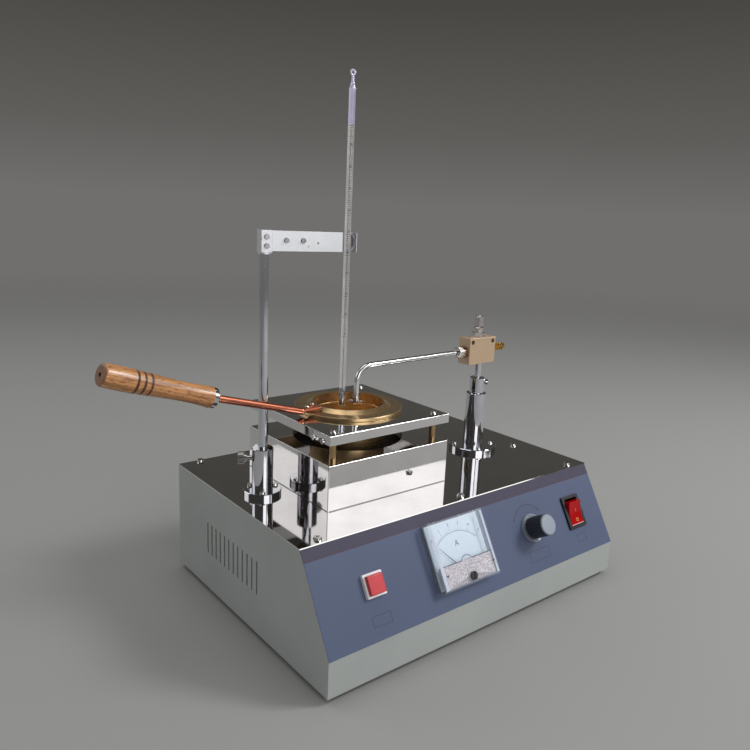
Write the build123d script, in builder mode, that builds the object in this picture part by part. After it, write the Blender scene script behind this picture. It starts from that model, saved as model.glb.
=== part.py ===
from build123d import *
import math
import os

# Open cup flash point tester: a steel housing with a sloped front panel, an electric furnace that heats a
# brass cup, a post that holds a thermometer over the cup, and a column that swings a small gas flame over it.
# Millimetres. X runs from left to right, Y from the front to the back and Z up. The pieces are made with the
# housing's lower front left corner at the origin; the last section moves them all onto the bench.

# Housing
housing_width = 340.0
housing_depth = 247.0
housing_height = 99.0
lip_height = 29.0
slope_run = 41.0
housing_sheet = 1.5
bottom_flange = 12.0
deck_sheet = 1.2
deck_flange = 26.0
fold_length = 1.3
fold_thickness = 1.0
overlay_thickness = 0.5
overlay_margin = 0.3
bottom_sheet = 1.2
bottom_margin = 3.0
foot_radius = 9.0
foot_height = 4.0
foot_inset = 28.0
foot_chamfer = 0.8
wire_hole_radius = 15.0

# Gaps between pieces that stay put, that lie on each other and that run in each other, and the small
# chamfer on turned edges
joint_gap = 0.1
seat_gap = 0.05
running_gap = 0.05
edge_break = 0.5

# Ventilation slots, through both side walls and in the bottom
vent_count = 12
vent_pitch = 7.85
vent_width = 2.2
vent_length = 29.0
vent_first = 100.8
vent_middle = 48.5
bottom_vent_length = 60.0

# Screws: head radius, head height and shank radius. The slot is given by shares of the head's radius
deck_screw = (3.4, 2.0, 1.5)
flange_screw = (2.6, 1.9, 1.3)
plate_screw = (2.75, 1.6, 1.3)
arm_screw = (2.3, 1.3, 1.2)
screw_clearance = 0.15
screw_end_gap = 1.0
screw_taper = 14.0
screw_slot_length = 1.3
screw_slot_width = 0.26
screw_slot_turn = 25.0
deck_screw_length = 8.0
flange_screw_length = 8.0
pillar_screw_length = 7.0
skirt_screw_length = 2.5
deck_screw_inset = 20.0
deck_screw_front = 5.5
deck_screw_side = 116.0
deck_screw_back = 4.0

# Cup and furnace, both about the same upright axis
cup_x = 118.4
cup_y = 144.5
furnace_width = 130.0
furnace_depth = 128.0
furnace_height = 39.0
furnace_sheet = 1.0
furnace_edge = 0.7
furnace_hole_radius = 50.0
furnace_screw_inset = 11.1
furnace_screw_height = 22.4
insulation_gap = 0.5
insulation_floor = 20.4
coil_wire_radius = 3.0
coil_radii = (12.0, 22.0, 32.0, 42.0)
coil_bar_width = 3.0
hot_plate_thickness = 6.0
cup_bottom_gap = 0.6
plate_lift = 63.8
plate_sheet = 1.0
plate_skirt = 8.0
plate_edge = 0.7
plate_hole_clearance = 1.6
pillar_inset = 10.0
pillar_radius = 3.0
skirt_screw_drop = 6.6
skirt_screw_insets = (10.0, 22.8)
cup_inner_radius = 31.75
cup_wall = 2.25
cup_depth = 33.6
cup_floor = 3.0
cup_flange_radius = 48.5
cup_flange_thickness = 3.0
cup_rim_rise = 2.8
cup_rim_width = 1.25
cup_cone_run = 5.0
cup_fill_depth = 9.5
cup_fill_groove = 0.4
cup_edge = 0.4

# Cup handle, a copper rod that rises outwards from the flange
handle_azimuth = 185.0
handle_rise = 16.1
handle_root = 54.0
handle_root_lift = 1.6
handle_rod_radius = 3.0
handle_rod_length = 86.4
handle_bend_radius = 60.0
handle_bend_lead = 2.0
handle_grip_rise = 18.6
handle_rod_tail = 20.0
tine_radius = 1.6
tine_end = 36.0
tine_rise = 1.7
tine_spread = 4.7
fork_swell = 0.2
rivet_radius = 0.8
rivet_head_radius = 1.7
rivet_head_height = 1.0
rivet_head_taper = 30.0
rivet_places = (0.42, 0.82)
ferrule_radius = 8.1
ferrule_length = 4.5
ferrule_wall = 0.8
handle_length = 92.5
handle_neck_radius = 8.5
handle_waist_radius = 7.6
handle_grip_radius = 8.7
handle_end_radius = 8.4
handle_waist = 40.0
handle_grip = 72.0
handle_round = 2.0
handle_groove_radius = 0.8
handle_grooves = (57.0, 62.5, 68.0)
handle_hole_radius = 1.5
handle_hole_depth = 5.0

# Thermometer post
post_x = 30.3
post_y = 145.0
post_flange_radius = 16.2
post_flange_thickness = 4.3
post_screw_circle = 12.4
post_sleeve_radius = 9.0
post_sleeve_height = 40.5
post_sleeve_floor = 5.0
post_rod_radius = 4.0
post_rod_top = 219.9
thumbscrew_azimuth = 150.0
thumbscrew_height = 31.4
thumbscrew_shank_radius = 2.0
thumbscrew_tip_gap = 0.3
thumbscrew_collar_radius = 3.2
thumbscrew_collar = 2.0
thumbscrew_head_radius = 5.5
thumbscrew_head = 5.0
thumbscrew_reach = 20.5
knurl_radius = 0.45
knurl_count = 24

# Thermometer arm, measured along the arm from the post's axis and up from the deck
arm_azimuth = -10.1
clamp_length = 9.3
clamp_depth = 10.4
clamp_bottom = 202.6
clamp_height = 17.3
clamp_ring_radius = 5.4
clamp_ring_height = 1.4
clamp_tab_end = 38.0
clamp_tab_thickness = 1.5
clamp_screw_heights = (207.7, 214.7)
strip_end = 67.2
strip_bottom = 203.5
strip_height = 16.0
strip_thickness = 1.5
strip_screw_places = (17.9, 32.4)
strip_screw_height = 212.0
strip_hole = (45.5, 210.3, 0.9)
strip_pin_hole = (37.0, 207.4, 0.6)
clip_sheet = 0.8
clip_root = 55.0
clip_riser = 67.8
clip_end = 80.1
clip_back = 4.2
clip_front = -3.0
leaf_thickness = 0.4
leaf_width = 4.0
leaf_margin = 1.6
leaf_gap = 0.3
leaf_weld = 0.01

# Thermometer, held in the clip
thermometer_reach = 72.6
thermometer_radius = 2.75
thermometer_tip = 70.0
thermometer_length = 272.4
thermometer_tip_radius = 1.6
thermometer_neck = 10.0
eye_radius = 1.9
eye_wire_radius = 0.8
eye_neck_radius = 1.28
eye_root_radius = 1.04
bulb_radius = 1.7
bulb_length = 11.0
bore_radius = 0.35
mercury_length = 60.0
bore_length = 230.0

# Flame applicator column
column_x = 276.5
column_y = 135.0
column_flange_radius = 24.6
column_flange_thickness = 4.5
column_screw_circle = 19.5
column_screw_first = 62.0
column_sleeve_radius = 10.2
column_sleeve_height = 60.0
column_bore_floor = 38.0
spigot_radius = 6.0
spigot_length = 18.0
bush_radius = 7.7
bush_height = 16.0
set_screw_azimuth = -35.0
set_screw_height = 11.2
set_screw_shank_radius = 1.5
set_screw_head_radius = 2.9
set_screw_head = 2.6
set_screw_collar = 0.8
set_screw_socket_radius = 1.2
set_screw_socket = 1.2
stem_radius = 3.5
stem_bottom = 47.0
block_bottom = 91.5
block_offset_x = -1.8
block_offset_y = 1.9
block_width = 37.2
block_depth = 15.3
block_height = 26.5
block_edge = 0.3
block_hole_radius = 2.3
block_hole_inset = 4.2
block_hole_drop = 3.8
block_port_depth = 5.5
block_passage_radius = 1.2
block_needle_radius = 0.9
gas_height = 12.5
barb_lift = 1.5
nut_thread_radius = 4.0
nut_thread_length = 3.6
nut_length = 7.3
nut_across_flats = 10.0
nut_turn = 12.0
tube_radius = 2.4
tube_bore_radius = 1.4
tube_bend_radius = 15.0
tube_seat_gap = 1.0
tube_kink_radius = 60.0
tube_straight = 1.5
nozzle_x = 116.0
nozzle_y = 130.6
nozzle_bottom = 70.3
nozzle_height = 7.4
nozzle_radius = 3.1
nozzle_tip_radius = 2.4
nozzle_socket = 3.0
nozzle_orifice_radius = 0.8
nozzle_cone = 1.0
nozzle_lip = 0.5
cross_pin_radius = 1.3
cross_pin_length = 13.0
cross_pin_azimuth = -60.0
cross_pin_lift = 2.1
cross_pin_root = 0.8
cross_pin_head = (1.8, 2.0, 8.0)
gland_thread_radius = 4.0
gland_across_flats = 12.2
gland_hex_height = 5.2
gland_turn = 20.0
gland_collar_radius = 5.2
gland_collar_height = 4.8
needle_shaft_radius = 2.4
needle_knob_radius = 4.9
needle_knob_height = 10.0
needle_knob_gap = 1.0
needle_knob_rim = 1.6
needle_tip_gap = 1.0
needle_tip = 1.5
barb_radius = 4.0
barb_neck_radius = 3.1
barb_collar_radius = 4.3
barb_collar = 4.0
barb_pitch = 4.0
barb_count = 4
barb_land = 0.6
barb_bore_radius = 1.6
barb_thread_radius = 3.0

# Panel fittings, placed by their distance from the left wall and up the slope from the lip
panel_gap = 0.4
meter_x = 143.0
meter_v = 42.3
meter_width = 64.0
meter_height = 56.0
meter_depth = 9.5
meter_body_radius = 25.5
meter_body_depth = 38.0
meter_base = 1.5
meter_wall = 1.2
meter_inner_gap = 0.3
meter_corner = 0.8
dial_margin = 0.5
meter_dial_thickness = 1.6
meter_mask_height = 20.0
meter_mask_thickness = 1.3
needle_x = 142.0
needle_v = 25.3
needle_length = 32.0
needle_tail = 6.0
needle_width = 0.7
needle_thickness = 0.4
needle_hub_radius = 2.4
needle_pin_radius = 0.8
needle_zero_angle = 131.0
needle_lift = 0.3
needle_rise = 1.2
needle_cap = 0.6
needle_cap_floor = 0.1
zero_x = 144.5
zero_v = 20.2
zero_head_radius = 3.5
zero_head = 1.2
zero_shank_radius = 2.0
zero_slot = 0.9
zero_slot_turn = 70.0
button_x = 52.7
button_v = 40.0
button_bezel_size = 18.0
button_bezel_thickness = 3.0
button_size = 14.5
button_gap = 0.1
button_wall = 0.8
button_rise = 3.2
button_travel = 3.0
button_body_depth = 12.0
button_floor = 3.0
button_corner = 0.8
button_stop_gap = 0.5
knob_x = 236.5
knob_v = 38.4
knob_skirt_radius = 13.0
knob_skirt = 2.6
knob_radius = 10.0
knob_top_radius = 9.5
knob_height = 20.4
knob_face_radius = 8.7
knob_face = 0.6
knob_gap = 0.4
knob_ribs = 24
knob_rib_radius = 0.7
knob_rib_lift = 0.6
knob_skirt_taper = 12.0
knob_face_taper = 20.0
shaft_radius = 3.0
pot_bush_radius = 4.6
pot_bush_rise = 5.0
pot_body_radius = 8.5
pot_body_depth = 11.0
rocker_x = 298.9
rocker_v = 39.5
rocker_bezel_width = 25.0
rocker_bezel_length = 31.0
rocker_bezel_thickness = 2.0
rocker_opening_width = 17.6
rocker_opening_length = 25.6
rocker_body_width = 21.4
rocker_body_length = 27.6
rocker_body_depth = 18.0
rocker_floor = 4.0
rocker_gap = 0.25
rocker_half_length = 11.0
rocker_rise = 4.6
rocker_dip = 1.6
rocker_skirt = 6.5
rocker_pivot_depth = 2.5
rocker_pivot_radius = 1.4
rocker_tilt = 13.0
rocker_bezel_corner = 1.2
rocker_bezel_edge = 0.6
rocker_pin_root = 0.5

# Mains inlet in the back wall and the control board inside
inlet_x = 60.0
inlet_z = 48.0
inlet_width = 27.4
inlet_height = 20.0
inlet_flange = 2.5
inlet_flange_thickness = 2.0
inlet_depth = 18.0
inlet_recess_width = 24.0
inlet_recess_height = 16.6
inlet_recess_depth = 15.0
inlet_pin = (2.0, 5.0)
inlet_pin_length = 12.0
inlet_pin_pitch = 7.0
inlet_pin_drop = 2.0
board_x = 235.0
board_y = 165.0
board_width = 110.0
board_depth = 80.0
board_thickness = 1.6
board_lift = 8.0
standoff_radius = 3.0
standoff_inset = 6.0
heatsink_fins = 7
heatsink_fin = (2.0, 40.0)
heatsink_pitch = 6.0
heatsink_height = 26.0
heatsink_base = 3.0

# Heights and planes that the pieces share
deck = housing_height
deck_underside = deck - deck_sheet
furnace_top = deck + furnace_height
plate_top = deck + plate_lift
flange_top = plate_top + cup_flange_thickness
rim_height = flange_top + cup_rim_rise
cup_inside_bottom = rim_height - cup_depth
cup_bottom = cup_inside_bottom - cup_floor
cup_outer_radius = cup_inner_radius + cup_wall

housing_middle = (housing_width / 2, housing_depth / 2)
furnace_place = (cup_x, cup_y)
post_place = (post_x, post_y)
column_place = (column_x, column_y)

slope_angle = math.atan2(housing_height - lip_height, slope_run)
slope_length = math.hypot(housing_height - lip_height, slope_run)
slope_cos = math.cos(slope_angle)
slope_sin = math.sin(slope_angle)
slope = Plane(origin=(0, 0, lip_height), x_dir=(1, 0, 0), z_dir=(0, -slope_sin, slope_cos))
panel_face = slope.offset(overlay_thickness)
back_wall = Plane.XZ.offset(-housing_depth)


def slope_y(height):
    """How far back the sloped front is at a height."""
    return (height - lip_height) / math.tan(slope_angle)


def axis_plane(place, azimuth=0.0, height=0.0):
    """A level plane at a place, with its own x turned to an azimuth in degrees."""
    turn = math.radians(azimuth)
    return Plane(origin=(*place, height), x_dir=(math.cos(turn), math.sin(turn), 0), z_dir=(0, 0, 1))


def upright(place, azimuth=0.0):
    """An upright plane through a place: its own x is a radius at the azimuth and its own y is height."""
    turn = math.radians(azimuth)
    return Plane(
        origin=(*place, 0),
        x_dir=(math.cos(turn), math.sin(turn), 0),
        z_dir=(math.sin(turn), -math.cos(turn), 0),
    )


def radial(place, azimuth, height):
    """A plane whose own y points outwards from a place at an azimuth and whose own x is level."""
    turn = math.radians(azimuth)
    return Plane(
        origin=(*place, height),
        x_dir=(math.sin(turn), -math.cos(turn), 0),
        z_dir=(0, 0, 1),
    )


def turned(plane, outline):
    """A solid turned about the plane's own y, from its outline of (radius, distance) points."""
    with BuildPart() as solid:
        with BuildSketch(plane):
            with BuildLine():
                Polyline(*outline, close=True)
            make_face()
        revolve(axis=Axis(plane.origin, plane.y_dir))
    return solid


def pan_screws(seats, size, shank_length, cross=True):
    """Pan head screws: each seat is a plane with the points where its screws stand."""
    head_radius, head_height, shank_radius = size
    slot_length = head_radius * screw_slot_length
    slot_width = head_radius * screw_slot_width
    with BuildPart() as screws:
        for plane, points in seats:
            with BuildSketch(plane):
                with Locations(*points):
                    Circle(head_radius)
            extrude(amount=head_height, taper=screw_taper)
            with BuildSketch(plane.offset(head_height)):
                with Locations(*points):
                    Rectangle(slot_length, slot_width, rotation=screw_slot_turn)
                    if cross:
                        Rectangle(slot_width, slot_length, rotation=screw_slot_turn)
            extrude(amount=-head_height / 2, mode=Mode.SUBTRACT)
            with BuildSketch(plane):
                with Locations(*points):
                    Circle(shank_radius)
            extrude(amount=-shank_length)
    return screws


def ring_points(radius, count, first=0.0, centre=(0.0, 0.0)):
    """Points evenly spaced round a circle, the first at an angle in degrees."""
    angles = [math.radians(first + 360 * number / count) for number in range(count)]
    return [(centre[0] + radius * math.cos(a), centre[1] + radius * math.sin(a)) for a in angles]


def panel_openings():
    """Draws the openings of the four panel fittings in the sketch that is being made."""
    with Locations((meter_x, meter_v)):
        Circle(meter_body_radius + panel_gap)
    with Locations((button_x, button_v)):
        Rectangle(button_size + 2 * (button_gap + button_wall + panel_gap),
                  button_size + 2 * (button_gap + button_wall + panel_gap))
    with Locations((knob_x, knob_v)):
        Circle(pot_bush_radius + panel_gap)
    with Locations((rocker_x, rocker_v)):
        Rectangle(rocker_body_width + 2 * panel_gap, rocker_body_length + 2 * panel_gap)


# ------------------------------------------------------------------------------------------ housing
housing_side = [
    (0, 0),
    (housing_depth, 0),
    (housing_depth, deck_underside),
    (slope_y(deck_underside), deck_underside),
    (0, lip_height),
]
deck_screw_ends = (slope_run + deck_screw_front, housing_depth - deck_screw_back)
deck_screw_places = [
    (across, along)
    for along in deck_screw_ends
    for across in (deck_screw_inset, housing_width / 2, housing_width - deck_screw_inset)
] + [(housing_width - deck_screw_inset, deck_screw_side)]
flange_screw_places = [
    (post_x + across, post_y + along) for across, along in ring_points(post_screw_circle, 3)
] + [
    (column_x + across, column_y + along)
    for across, along in ring_points(column_screw_circle, 4, column_screw_first)
]

with BuildPart() as housing_shell:
    with BuildSketch(Plane.YZ):
        with BuildLine():
            Polyline(*housing_side, close=True)
        make_face()
    extrude(amount=housing_width)
    with BuildSketch(Plane.YZ.offset(housing_sheet)):
        with BuildLine():
            Polyline(*housing_side, close=True)
        make_face()
        offset(amount=-housing_sheet, kind=Kind.INTERSECTION)
    extrude(amount=housing_width - 2 * housing_sheet, mode=Mode.SUBTRACT)
    with BuildSketch(Plane.XY.offset(deck_underside)):
        opening_front = slope_y(deck_underside) + deck_flange
        opening_depth = housing_depth - deck_flange - opening_front
        with Locations((housing_width / 2, opening_front + opening_depth / 2)):
            Rectangle(housing_width - 2 * deck_flange, opening_depth)
        with Locations(*deck_screw_places):
            Circle(deck_screw[2] + screw_clearance)
        with Locations(*flange_screw_places):
            Circle(flange_screw[2] + screw_clearance)
    extrude(amount=-housing_sheet, mode=Mode.SUBTRACT)
    with BuildSketch(Plane.XY):
        with Locations(housing_middle):
            Rectangle(housing_width - 2 * bottom_flange, housing_depth - 2 * bottom_flange)
    extrude(amount=housing_sheet, mode=Mode.SUBTRACT)
    with BuildSketch(Plane.YZ):
        with Locations(*[(vent_first + vent_pitch * number, vent_middle) for number in range(vent_count)]):
            SlotOverall(vent_length, vent_width, rotation=90)
    extrude(amount=housing_width, mode=Mode.SUBTRACT)
    with BuildSketch(slope):
        panel_openings()
    extrude(amount=-2 * housing_sheet, mode=Mode.SUBTRACT)
    with BuildSketch(back_wall):
        with Locations((inlet_x, inlet_z)):
            Rectangle(inlet_width + 2 * panel_gap, inlet_height + 2 * panel_gap)
    extrude(amount=housing_sheet, mode=Mode.SUBTRACT)
housing_shell.part.label = "housing_shell"

with BuildPart() as bottom_plate:
    with BuildSketch(Plane.XY):
        with Locations(housing_middle):
            Rectangle(housing_width - 2 * bottom_margin, housing_depth - 2 * bottom_margin)
    extrude(amount=-bottom_sheet)
    with BuildSketch(Plane.XY):
        with Locations(housing_middle):
            with GridLocations(vent_pitch, 2 * bottom_vent_length, vent_count, 1):
                SlotOverall(bottom_vent_length, vent_width, rotation=90)
    extrude(amount=-bottom_sheet, mode=Mode.SUBTRACT)
bottom_plate.part.label = "bottom_plate"

foot_places = [
    (foot_inset, foot_inset),
    (housing_width - foot_inset, foot_inset),
    (foot_inset, housing_depth - foot_inset),
    (housing_width - foot_inset, housing_depth - foot_inset),
]
feet = []
for number, place in enumerate(foot_places, 1):
    with BuildPart() as foot:
        with BuildSketch(Plane.XY.offset(-bottom_sheet)):
            with Locations(place):
                Circle(foot_radius)
        extrude(amount=-foot_height)
        chamfer(foot.edges().group_by(Axis.Z)[0], foot_chamfer)
    foot.part.label = f"rubber_foot_{number}"
    feet.append(foot)

# The deck's front edge is folded down over the top of the slope
fold_y = slope_y(deck) - fold_length * slope_cos
fold_z = deck - fold_length * slope_sin
with BuildPart() as top_panel:
    with BuildSketch(Plane.YZ):
        with BuildLine():
            Polyline(
                (housing_depth, deck_underside),
                (housing_depth, deck),
                (slope_y(deck) - fold_thickness / slope_sin, deck),
                (fold_y - fold_thickness * slope_sin, fold_z + fold_thickness * slope_cos),
                (fold_y, fold_z),
                (slope_y(deck_underside), deck_underside),
                close=True,
            )
        make_face()
    extrude(amount=housing_width)
    with BuildSketch(Plane.XY.offset(deck)):
        with Locations(*deck_screw_places):
            Circle(deck_screw[2] + screw_clearance)
        with Locations(*flange_screw_places):
            Circle(flange_screw[2] + screw_clearance)
        with Locations(furnace_place):
            Circle(wire_hole_radius)
    extrude(amount=-deck_sheet, mode=Mode.SUBTRACT)
top_panel.part.label = "top_panel"

panel_screws = pan_screws([(Plane.XY.offset(deck), deck_screw_places)], deck_screw, deck_screw_length)
panel_screws.part.label = "panel_screws"

overlay_length = slope_length - fold_length - 2 * overlay_margin
with BuildPart() as front_overlay:
    with BuildSketch(slope):
        with Locations((housing_width / 2, overlay_margin + overlay_length / 2)):
            Rectangle(housing_width - 2 * overlay_margin, overlay_length)
    extrude(amount=overlay_thickness)
    with BuildSketch(slope):
        panel_openings()
    extrude(amount=overlay_thickness, mode=Mode.SUBTRACT)
front_overlay.part.label = "front_overlay"

with BuildPart() as power_inlet:
    with BuildSketch(back_wall):
        with Locations((inlet_x, inlet_z)):
            Rectangle(inlet_width, inlet_height)
    extrude(amount=inlet_depth)
    with BuildSketch(back_wall):
        with Locations((inlet_x, inlet_z)):
            Rectangle(inlet_width + 2 * inlet_flange, inlet_height + 2 * inlet_flange)
    extrude(amount=-inlet_flange_thickness)
    with BuildSketch(back_wall.offset(-inlet_flange_thickness)):
        with Locations((inlet_x, inlet_z)):
            Rectangle(inlet_recess_width, inlet_recess_height)
    extrude(amount=inlet_recess_depth + inlet_flange_thickness, mode=Mode.SUBTRACT)
    with BuildSketch(back_wall.offset(inlet_recess_depth)):
        with Locations((inlet_x - inlet_pin_pitch, inlet_z - inlet_pin_drop),
                       (inlet_x, inlet_z + inlet_pin_drop),
                       (inlet_x + inlet_pin_pitch, inlet_z - inlet_pin_drop)):
            Rectangle(*inlet_pin)
    extrude(amount=-inlet_pin_length)
power_inlet.part.label = "power_inlet"

with BuildPart() as control_board:
    board_bottom = axis_plane((board_x, board_y), height=board_lift)
    with BuildSketch(board_bottom):
        Rectangle(board_width, board_depth)
    extrude(amount=board_thickness)
    with BuildSketch(board_bottom):
        with GridLocations(board_width - 2 * standoff_inset, board_depth - 2 * standoff_inset, 2, 2):
            Circle(standoff_radius)
    extrude(amount=-board_lift)
    with BuildSketch(board_bottom.offset(board_thickness)):
        Rectangle(heatsink_pitch * heatsink_fins, heatsink_fin[1])
    extrude(amount=heatsink_base)
    with BuildSketch(board_bottom.offset(board_thickness + heatsink_base)):
        with GridLocations(heatsink_pitch, 1, heatsink_fins, 1):
            Rectangle(*heatsink_fin)
    extrude(amount=heatsink_height)
control_board.part.label = "control_board"

# ------------------------------------------------------------------------------------------ furnace
furnace_screw_back = furnace_depth / 2 - furnace_screw_inset
with BuildPart() as furnace_box:
    with BuildSketch(axis_plane(furnace_place, height=deck)):
        Rectangle(furnace_width, furnace_depth)
    extrude(amount=furnace_height)
    fillet(furnace_box.edges().group_by(Axis.Z)[-1], furnace_edge)
    with BuildSketch(axis_plane(furnace_place, height=deck)):
        Rectangle(furnace_width - 2 * furnace_sheet, furnace_depth - 2 * furnace_sheet)
    extrude(amount=furnace_height - furnace_sheet, mode=Mode.SUBTRACT)
    with BuildSketch(axis_plane(furnace_place, height=furnace_top)):
        Circle(furnace_hole_radius)
    extrude(amount=-furnace_sheet, mode=Mode.SUBTRACT)
    furnace_side = Plane(
        origin=(cup_x - furnace_width / 2, cup_y, deck), x_dir=(0, -1, 0), z_dir=(-1, 0, 0)
    )
    with BuildSketch(furnace_side):
        with Locations((-furnace_screw_back, furnace_screw_height)):
            Circle(arm_screw[2] + screw_clearance)
    extrude(amount=-furnace_width, mode=Mode.SUBTRACT)
furnace_box.part.label = "furnace_box"

furnace_other_side = Plane(
    origin=(cup_x + furnace_width / 2, cup_y, deck), x_dir=(0, 1, 0), z_dir=(1, 0, 0)
)
furnace_screws = pan_screws(
    [
        (furnace_side, [(-furnace_screw_back, furnace_screw_height)]),
        (furnace_other_side, [(furnace_screw_back, furnace_screw_height)]),
    ],
    arm_screw,
    skirt_screw_length,
)
furnace_screws.part.label = "furnace_screws"

insulation_width = furnace_width - 2 * (furnace_sheet + insulation_gap)
insulation_depth = furnace_depth - 2 * (furnace_sheet + insulation_gap)
insulation_top = furnace_top - furnace_sheet - insulation_gap
coil_floor = deck + insulation_floor
with BuildPart() as insulation_block:
    with BuildSketch(axis_plane(furnace_place, height=deck)):
        Rectangle(insulation_width, insulation_depth)
    extrude(amount=insulation_top - deck)
    with BuildSketch(axis_plane(furnace_place, height=coil_floor)):
        Circle(furnace_hole_radius + insulation_gap)
    extrude(amount=insulation_top - coil_floor, mode=Mode.SUBTRACT)
    for side in (-1, 1):
        with BuildSketch(Plane(origin=(cup_x + side * insulation_width / 2, cup_y, deck),
                               x_dir=(0, side, 0), z_dir=(side, 0, 0))):
            with Locations((side * furnace_screw_back, furnace_screw_height)):
                Circle(arm_screw[2] + screw_clearance)
        extrude(amount=-2 * skirt_screw_length, mode=Mode.SUBTRACT)
insulation_block.part.label = "insulation_block"

with BuildPart() as heater_coil:
    with BuildSketch(upright(furnace_place)):
        with Locations(*[(radius, coil_floor + coil_wire_radius) for radius in coil_radii]):
            Circle(coil_wire_radius)
    revolve(axis=Axis((cup_x, cup_y, 0), (0, 0, 1)))
    with BuildSketch(axis_plane(furnace_place, height=coil_floor)):
        with Locations((coil_radii[-1] / 2, 0)):
            Rectangle(coil_radii[-1], coil_bar_width)
    extrude(amount=coil_wire_radius)
heater_coil.part.label = "heater_coil"

hot_plate_top = cup_bottom - cup_bottom_gap
hot_plate = turned(
    upright(furnace_place),
    [
        (0, hot_plate_top - hot_plate_thickness),
        (furnace_hole_radius, hot_plate_top - hot_plate_thickness),
        (furnace_hole_radius, hot_plate_top),
        (0, hot_plate_top),
    ],
)
hot_plate.part.label = "hot_plate"

pillar_places = [
    (cup_x + across * (furnace_width / 2 - pillar_inset), cup_y + along * (furnace_depth / 2 - pillar_inset))
    for along in (-1, 1)
    for across in (-1, 1)
]
skirt_screw_points = [(furnace_depth / 2 - inset, -skirt_screw_drop) for inset in skirt_screw_insets]
with BuildPart() as support_plate:
    with BuildSketch(axis_plane(furnace_place, height=plate_top)):
        Rectangle(furnace_width, furnace_depth)
    extrude(amount=-plate_skirt)
    fillet(support_plate.edges().group_by(Axis.Z)[-1], plate_edge)
    with BuildSketch(axis_plane(furnace_place, height=plate_top - plate_sheet)):
        Rectangle(furnace_width - 2 * plate_sheet, furnace_depth - 2 * plate_sheet)
    extrude(amount=-plate_skirt, mode=Mode.SUBTRACT)
    with BuildSketch(Plane.XY.offset(plate_top)):
        with Locations(furnace_place):
            Circle(cup_outer_radius + plate_hole_clearance)
        with Locations(*pillar_places):
            Circle(plate_screw[2] + screw_clearance)
    extrude(amount=-plate_sheet, mode=Mode.SUBTRACT)
    plate_side = Plane(
        origin=(cup_x - furnace_width / 2, cup_y, plate_top), x_dir=(0, -1, 0), z_dir=(-1, 0, 0)
    )
    with BuildSketch(plate_side):
        with Locations(*skirt_screw_points):
            Circle(arm_screw[2] + screw_clearance)
    extrude(amount=-2 * plate_sheet, mode=Mode.SUBTRACT)
support_plate.part.label = "support_plate"

pillars = []
for number, place in enumerate(pillar_places, 1):
    with BuildPart() as pillar:
        with BuildSketch(axis_plane(place, height=furnace_top)):
            Circle(pillar_radius)
        extrude(amount=plate_top - plate_sheet - furnace_top)
        with BuildSketch(axis_plane(place, height=plate_top)):
            Circle(plate_screw[2] + screw_clearance)
        extrude(amount=-pillar_screw_length - screw_end_gap, mode=Mode.SUBTRACT)
    pillar.part.label = f"plate_pillar_{number}"
    pillars.append(pillar)

corner_screws = pan_screws([(Plane.XY.offset(plate_top), pillar_places)], plate_screw, pillar_screw_length)
skirt_screws = pan_screws(
    [(plate_side, skirt_screw_points)],
    arm_screw,
    skirt_screw_length,
)
with BuildPart() as plate_screws:
    add(corner_screws.part)
    add(skirt_screws.part)
plate_screws.part.label = "plate_screws"

# ---------------------------------------------------------------------------------------------- cup
fill_height = rim_height - cup_fill_depth
test_cup = turned(
    upright(furnace_place),
    [
        (0, cup_bottom),
        (cup_outer_radius - 3 * cup_edge, cup_bottom),
        (cup_outer_radius, cup_bottom + 3 * cup_edge),
        (cup_outer_radius, plate_top),
        (cup_flange_radius - cup_edge, plate_top),
        (cup_flange_radius, plate_top + cup_edge),
        (cup_flange_radius, flange_top - cup_edge),
        (cup_flange_radius - cup_edge, flange_top),
        (cup_inner_radius + cup_rim_width + cup_cone_run, flange_top),
        (cup_inner_radius + cup_rim_width, rim_height),
        (cup_inner_radius, rim_height),
        (cup_inner_radius, fill_height + cup_fill_groove),
        (cup_inner_radius + cup_fill_groove, fill_height),
        (cup_inner_radius, fill_height - cup_fill_groove),
        (cup_inner_radius, cup_inside_bottom + 3 * cup_edge),
        (cup_inner_radius - 3 * cup_edge, cup_inside_bottom),
        (0, cup_inside_bottom),
    ],
)
test_cup.part.label = "test_cup"

handle_turn = math.radians(handle_azimuth)
handle_out = Vector(math.cos(handle_turn), math.sin(handle_turn), 0)
handle_side = Vector(-handle_out.Y, handle_out.X, 0)
handle_tilt = math.radians(handle_rise)
handle_line = handle_out * math.cos(handle_tilt) + Vector(0, 0, math.sin(handle_tilt))
grip_tilt = math.radians(handle_grip_rise)
grip_line = handle_out * math.cos(grip_tilt) + Vector(0, 0, math.sin(grip_tilt))
cup_centre = Vector(cup_x, cup_y, 0)
fork_point = cup_centre + handle_out * handle_root + Vector(0, 0, flange_top + handle_root_lift)
handle_plane = Plane(origin=fork_point, x_dir=handle_side, z_dir=handle_side.cross(handle_line))
bend_point = fork_point + handle_line * handle_rod_length
bend_run = handle_bend_radius * math.tan((grip_tilt - handle_tilt) / 2)
bend_start = bend_point - handle_line * bend_run
bend_end = bend_point + grip_line * bend_run
grip_origin = bend_point + grip_line * handle_bend_lead
tine_ends = [
    cup_centre
    + handle_out * tine_end
    + handle_side * side * tine_spread
    + Vector(0, 0, flange_top + handle_root_lift + tine_rise)
    for side in (1, -1)
]
back_tine = tine_ends[1] - fork_point
rivet_points = [fork_point + back_tine * share for share in rivet_places]
rivet_seat = flange_top + seat_gap

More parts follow.
